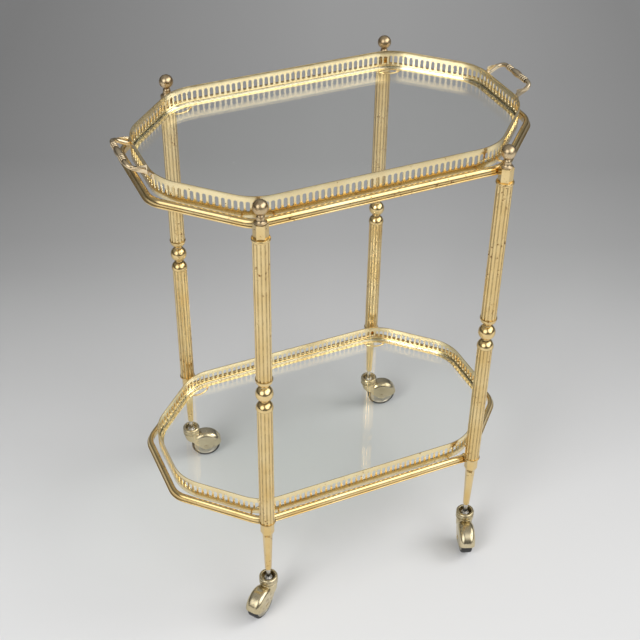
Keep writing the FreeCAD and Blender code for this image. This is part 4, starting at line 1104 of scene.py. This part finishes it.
# where the painted shading across the floor starts and ends: away from the front, and sideways
AWAY = (-0.4, 2.2)
SIDEWAYS = (-0.9, 0.9)
FLOOR_ROUGH = 0.6
FLOOR_SHINE = 0.2


def make_floor():
    """A plain grey floor with painted light and shade in its colour: paler towards the front,
    darker far off and towards the sides.
    """
    mesh = bpy.data.meshes.new("floor")
    mesh.from_pydata([(-FLOOR, -FLOOR, 0), (FLOOR, -FLOOR, 0), (FLOOR, FLOOR, 0),
                      (-FLOOR, FLOOR, 0)], [], [(0, 1, 2, 3)])
    floor = bpy.data.objects.new("floor", mesh)
    bpy.context.scene.collection.objects.link(floor)
    material, tree, shader = new_material("floor")
    where = node(tree, "TexCoord").outputs["Object"]
    turn = (0, 0, math.radians(FLOOR_TURN))
    turned = node(tree, "Mapping", {"Vector": where, "Rotation": turn}, vector_type="POINT")
    split = node(tree, "SeparateXYZ", {0: turned.outputs[0]})
    away = node(tree, "MapRange", {"Value": split.outputs["Y"], "From Min": AWAY[0],
                                   "From Max": AWAY[1]}).outputs[0]
    # painted light: the floor's colour falls off away from the front, as the lamps' light would
    depth = ramp(tree, away, (0.0, 0.70), (0.165, 0.635), (0.34, 0.50), (0.446, 0.395),
                 (0.58, 0.325), (0.77, 0.33), (1.0, 0.355))
    side = node(tree, "MapRange", {"Value": split.outputs["X"], "From Min": SIDEWAYS[0],
                                   "From Max": SIDEWAYS[1]}).outputs[0]
    # painted shade: the floor's colour is darker towards both sides
    edge = ramp(tree, side, (0.0, 0.62), (0.5, 0.98), (0.62, 0.98), (0.8, 0.88), (1.0, 0.70))
    fade = ramp(tree, away, (0.1, 0.0), (0.4, 1.0))
    shade = mix(tree, fade, (1.0, 1.0, 1.0), edge)
    both = node(tree, "VectorMath", {0: depth, 1: shade}, operation="MULTIPLY")
    tree.links.new(both.outputs[0], shader.inputs["Base Color"])
    shader.inputs["Roughness"].default_value = FLOOR_ROUGH
    shader.inputs["Specular IOR Level"].default_value = FLOOR_SHINE
    mesh.materials.append(material)


SOFTBOX = (1.4, 1.7)
SOFTBOX_AIM = Vector((0, 0, 0.4))


def make_light(name, place, power):
    """A large soft light that faces the trolley and isn't mirrored in it."""
    lamp = bpy.data.lights.new(name, "AREA")
    lamp.shape = "RECTANGLE"
    lamp.size, lamp.size_y = SOFTBOX
    lamp.energy = power
    obj = bpy.data.objects.new(name, lamp)
    bpy.context.scene.collection.objects.link(obj)
    obj.location = place
    aim = SOFTBOX_AIM - Vector(place)
    obj.rotation_euler = aim.to_track_quat("-Z", "Y").to_euler()
    obj.visible_glossy = False


# the soft lights that the metal mirrors: direction from the trolley, the cosine of their
# reach, and brightness
SOFT_LIGHTS = [((-0.74, -0.43, 0.52), 0.86, 3.4), ((0.36, -0.70, 0.62), 0.82, 4.2),
               ((0.77, -0.21, 0.60), 0.9, 3.4)]


WORLD_STRENGTH = 0.5


def make_world():
    """Plain soft light that grows towards the top, with brighter fields where lights stand."""
    world = bpy.data.worlds.new("studio")
    bpy.context.scene.world = world
    world.use_nodes = True
    tree = world.node_tree
    back = next(n for n in tree.nodes if n.type == "BACKGROUND")
    where = node(tree, "TexCoord").outputs["Generated"]
    height = node(tree, "SeparateXYZ", {0: where}).outputs["Z"]
    share = node(tree, "MapRange", {"Value": height, "From Min": -0.2, "From Max": 1.0})
    shade = ramp(tree, share.outputs[0], (0.0, 0.30), (0.22, 0.10), (0.4, 0.34),
                 (1.0, 0.8))
    for aim, reach, power in SOFT_LIGHTS:
        near = node(tree, "VectorMath", {0: where, 1: aim}, operation="DOT_PRODUCT")
        glow = node(tree, "MapRange", {"Value": near.outputs["Value"], "From Min": reach,
                                       "To Max": power}, interpolation_type="SMOOTHSTEP")
        lit = node(tree, "CombineXYZ", {axis: glow.outputs[0] for axis in "XYZ"})
        shade = node(tree, "VectorMath", {0: shade, 1: lit.outputs[0]},
                     operation="ADD").outputs[0]
    tree.links.new(shade, back.inputs["Color"])
    back.inputs["Strength"].default_value = WORLD_STRENGTH


# the camera's angles in degrees, its lens and sensor in millimetres, and its place in metres
AZIMUTH = -24.34
ELEVATION = 37.43
ROLL = 0.81
LENS = 67.504
SENSOR = 36.0
CAMERA_PLACE = (-0.59289, -1.28956, 1.45225)


def make_camera():
    """The camera at the photograph's viewing angle."""
    azimuth = math.radians(AZIMUTH)
    elevation = math.radians(ELEVATION)
    roll = math.radians(ROLL)
    back = Vector((math.sin(azimuth) * math.cos(elevation),
                   -math.cos(azimuth) * math.cos(elevation), math.sin(elevation)))
    right = Vector((math.cos(azimuth), math.sin(azimuth), 0))
    up = back.cross(right)
    x_axis = math.cos(roll) * right + math.sin(roll) * up
    y_axis = math.cos(roll) * up - math.sin(roll) * right
    data = bpy.data.cameras.new("camera")
    data.sensor_width = SENSOR
    data.lens = LENS
    camera = bpy.data.objects.new("camera", data)
    bpy.context.scene.collection.objects.link(camera)
    turn = Matrix((x_axis, y_axis, back)).transposed().to_4x4()
    camera.matrix_world = Matrix.Translation(CAMERA_PLACE) @ turn
    bpy.context.scene.camera = camera


make_floor()
make_world()
make_light("left_softbox", (-2.4, -1.4, 2.3), 50)
make_light("right_softbox", (2.6, -0.7, 2.2), 34)
make_camera()
bpy.context.scene.view_settings.view_transform = "Standard"
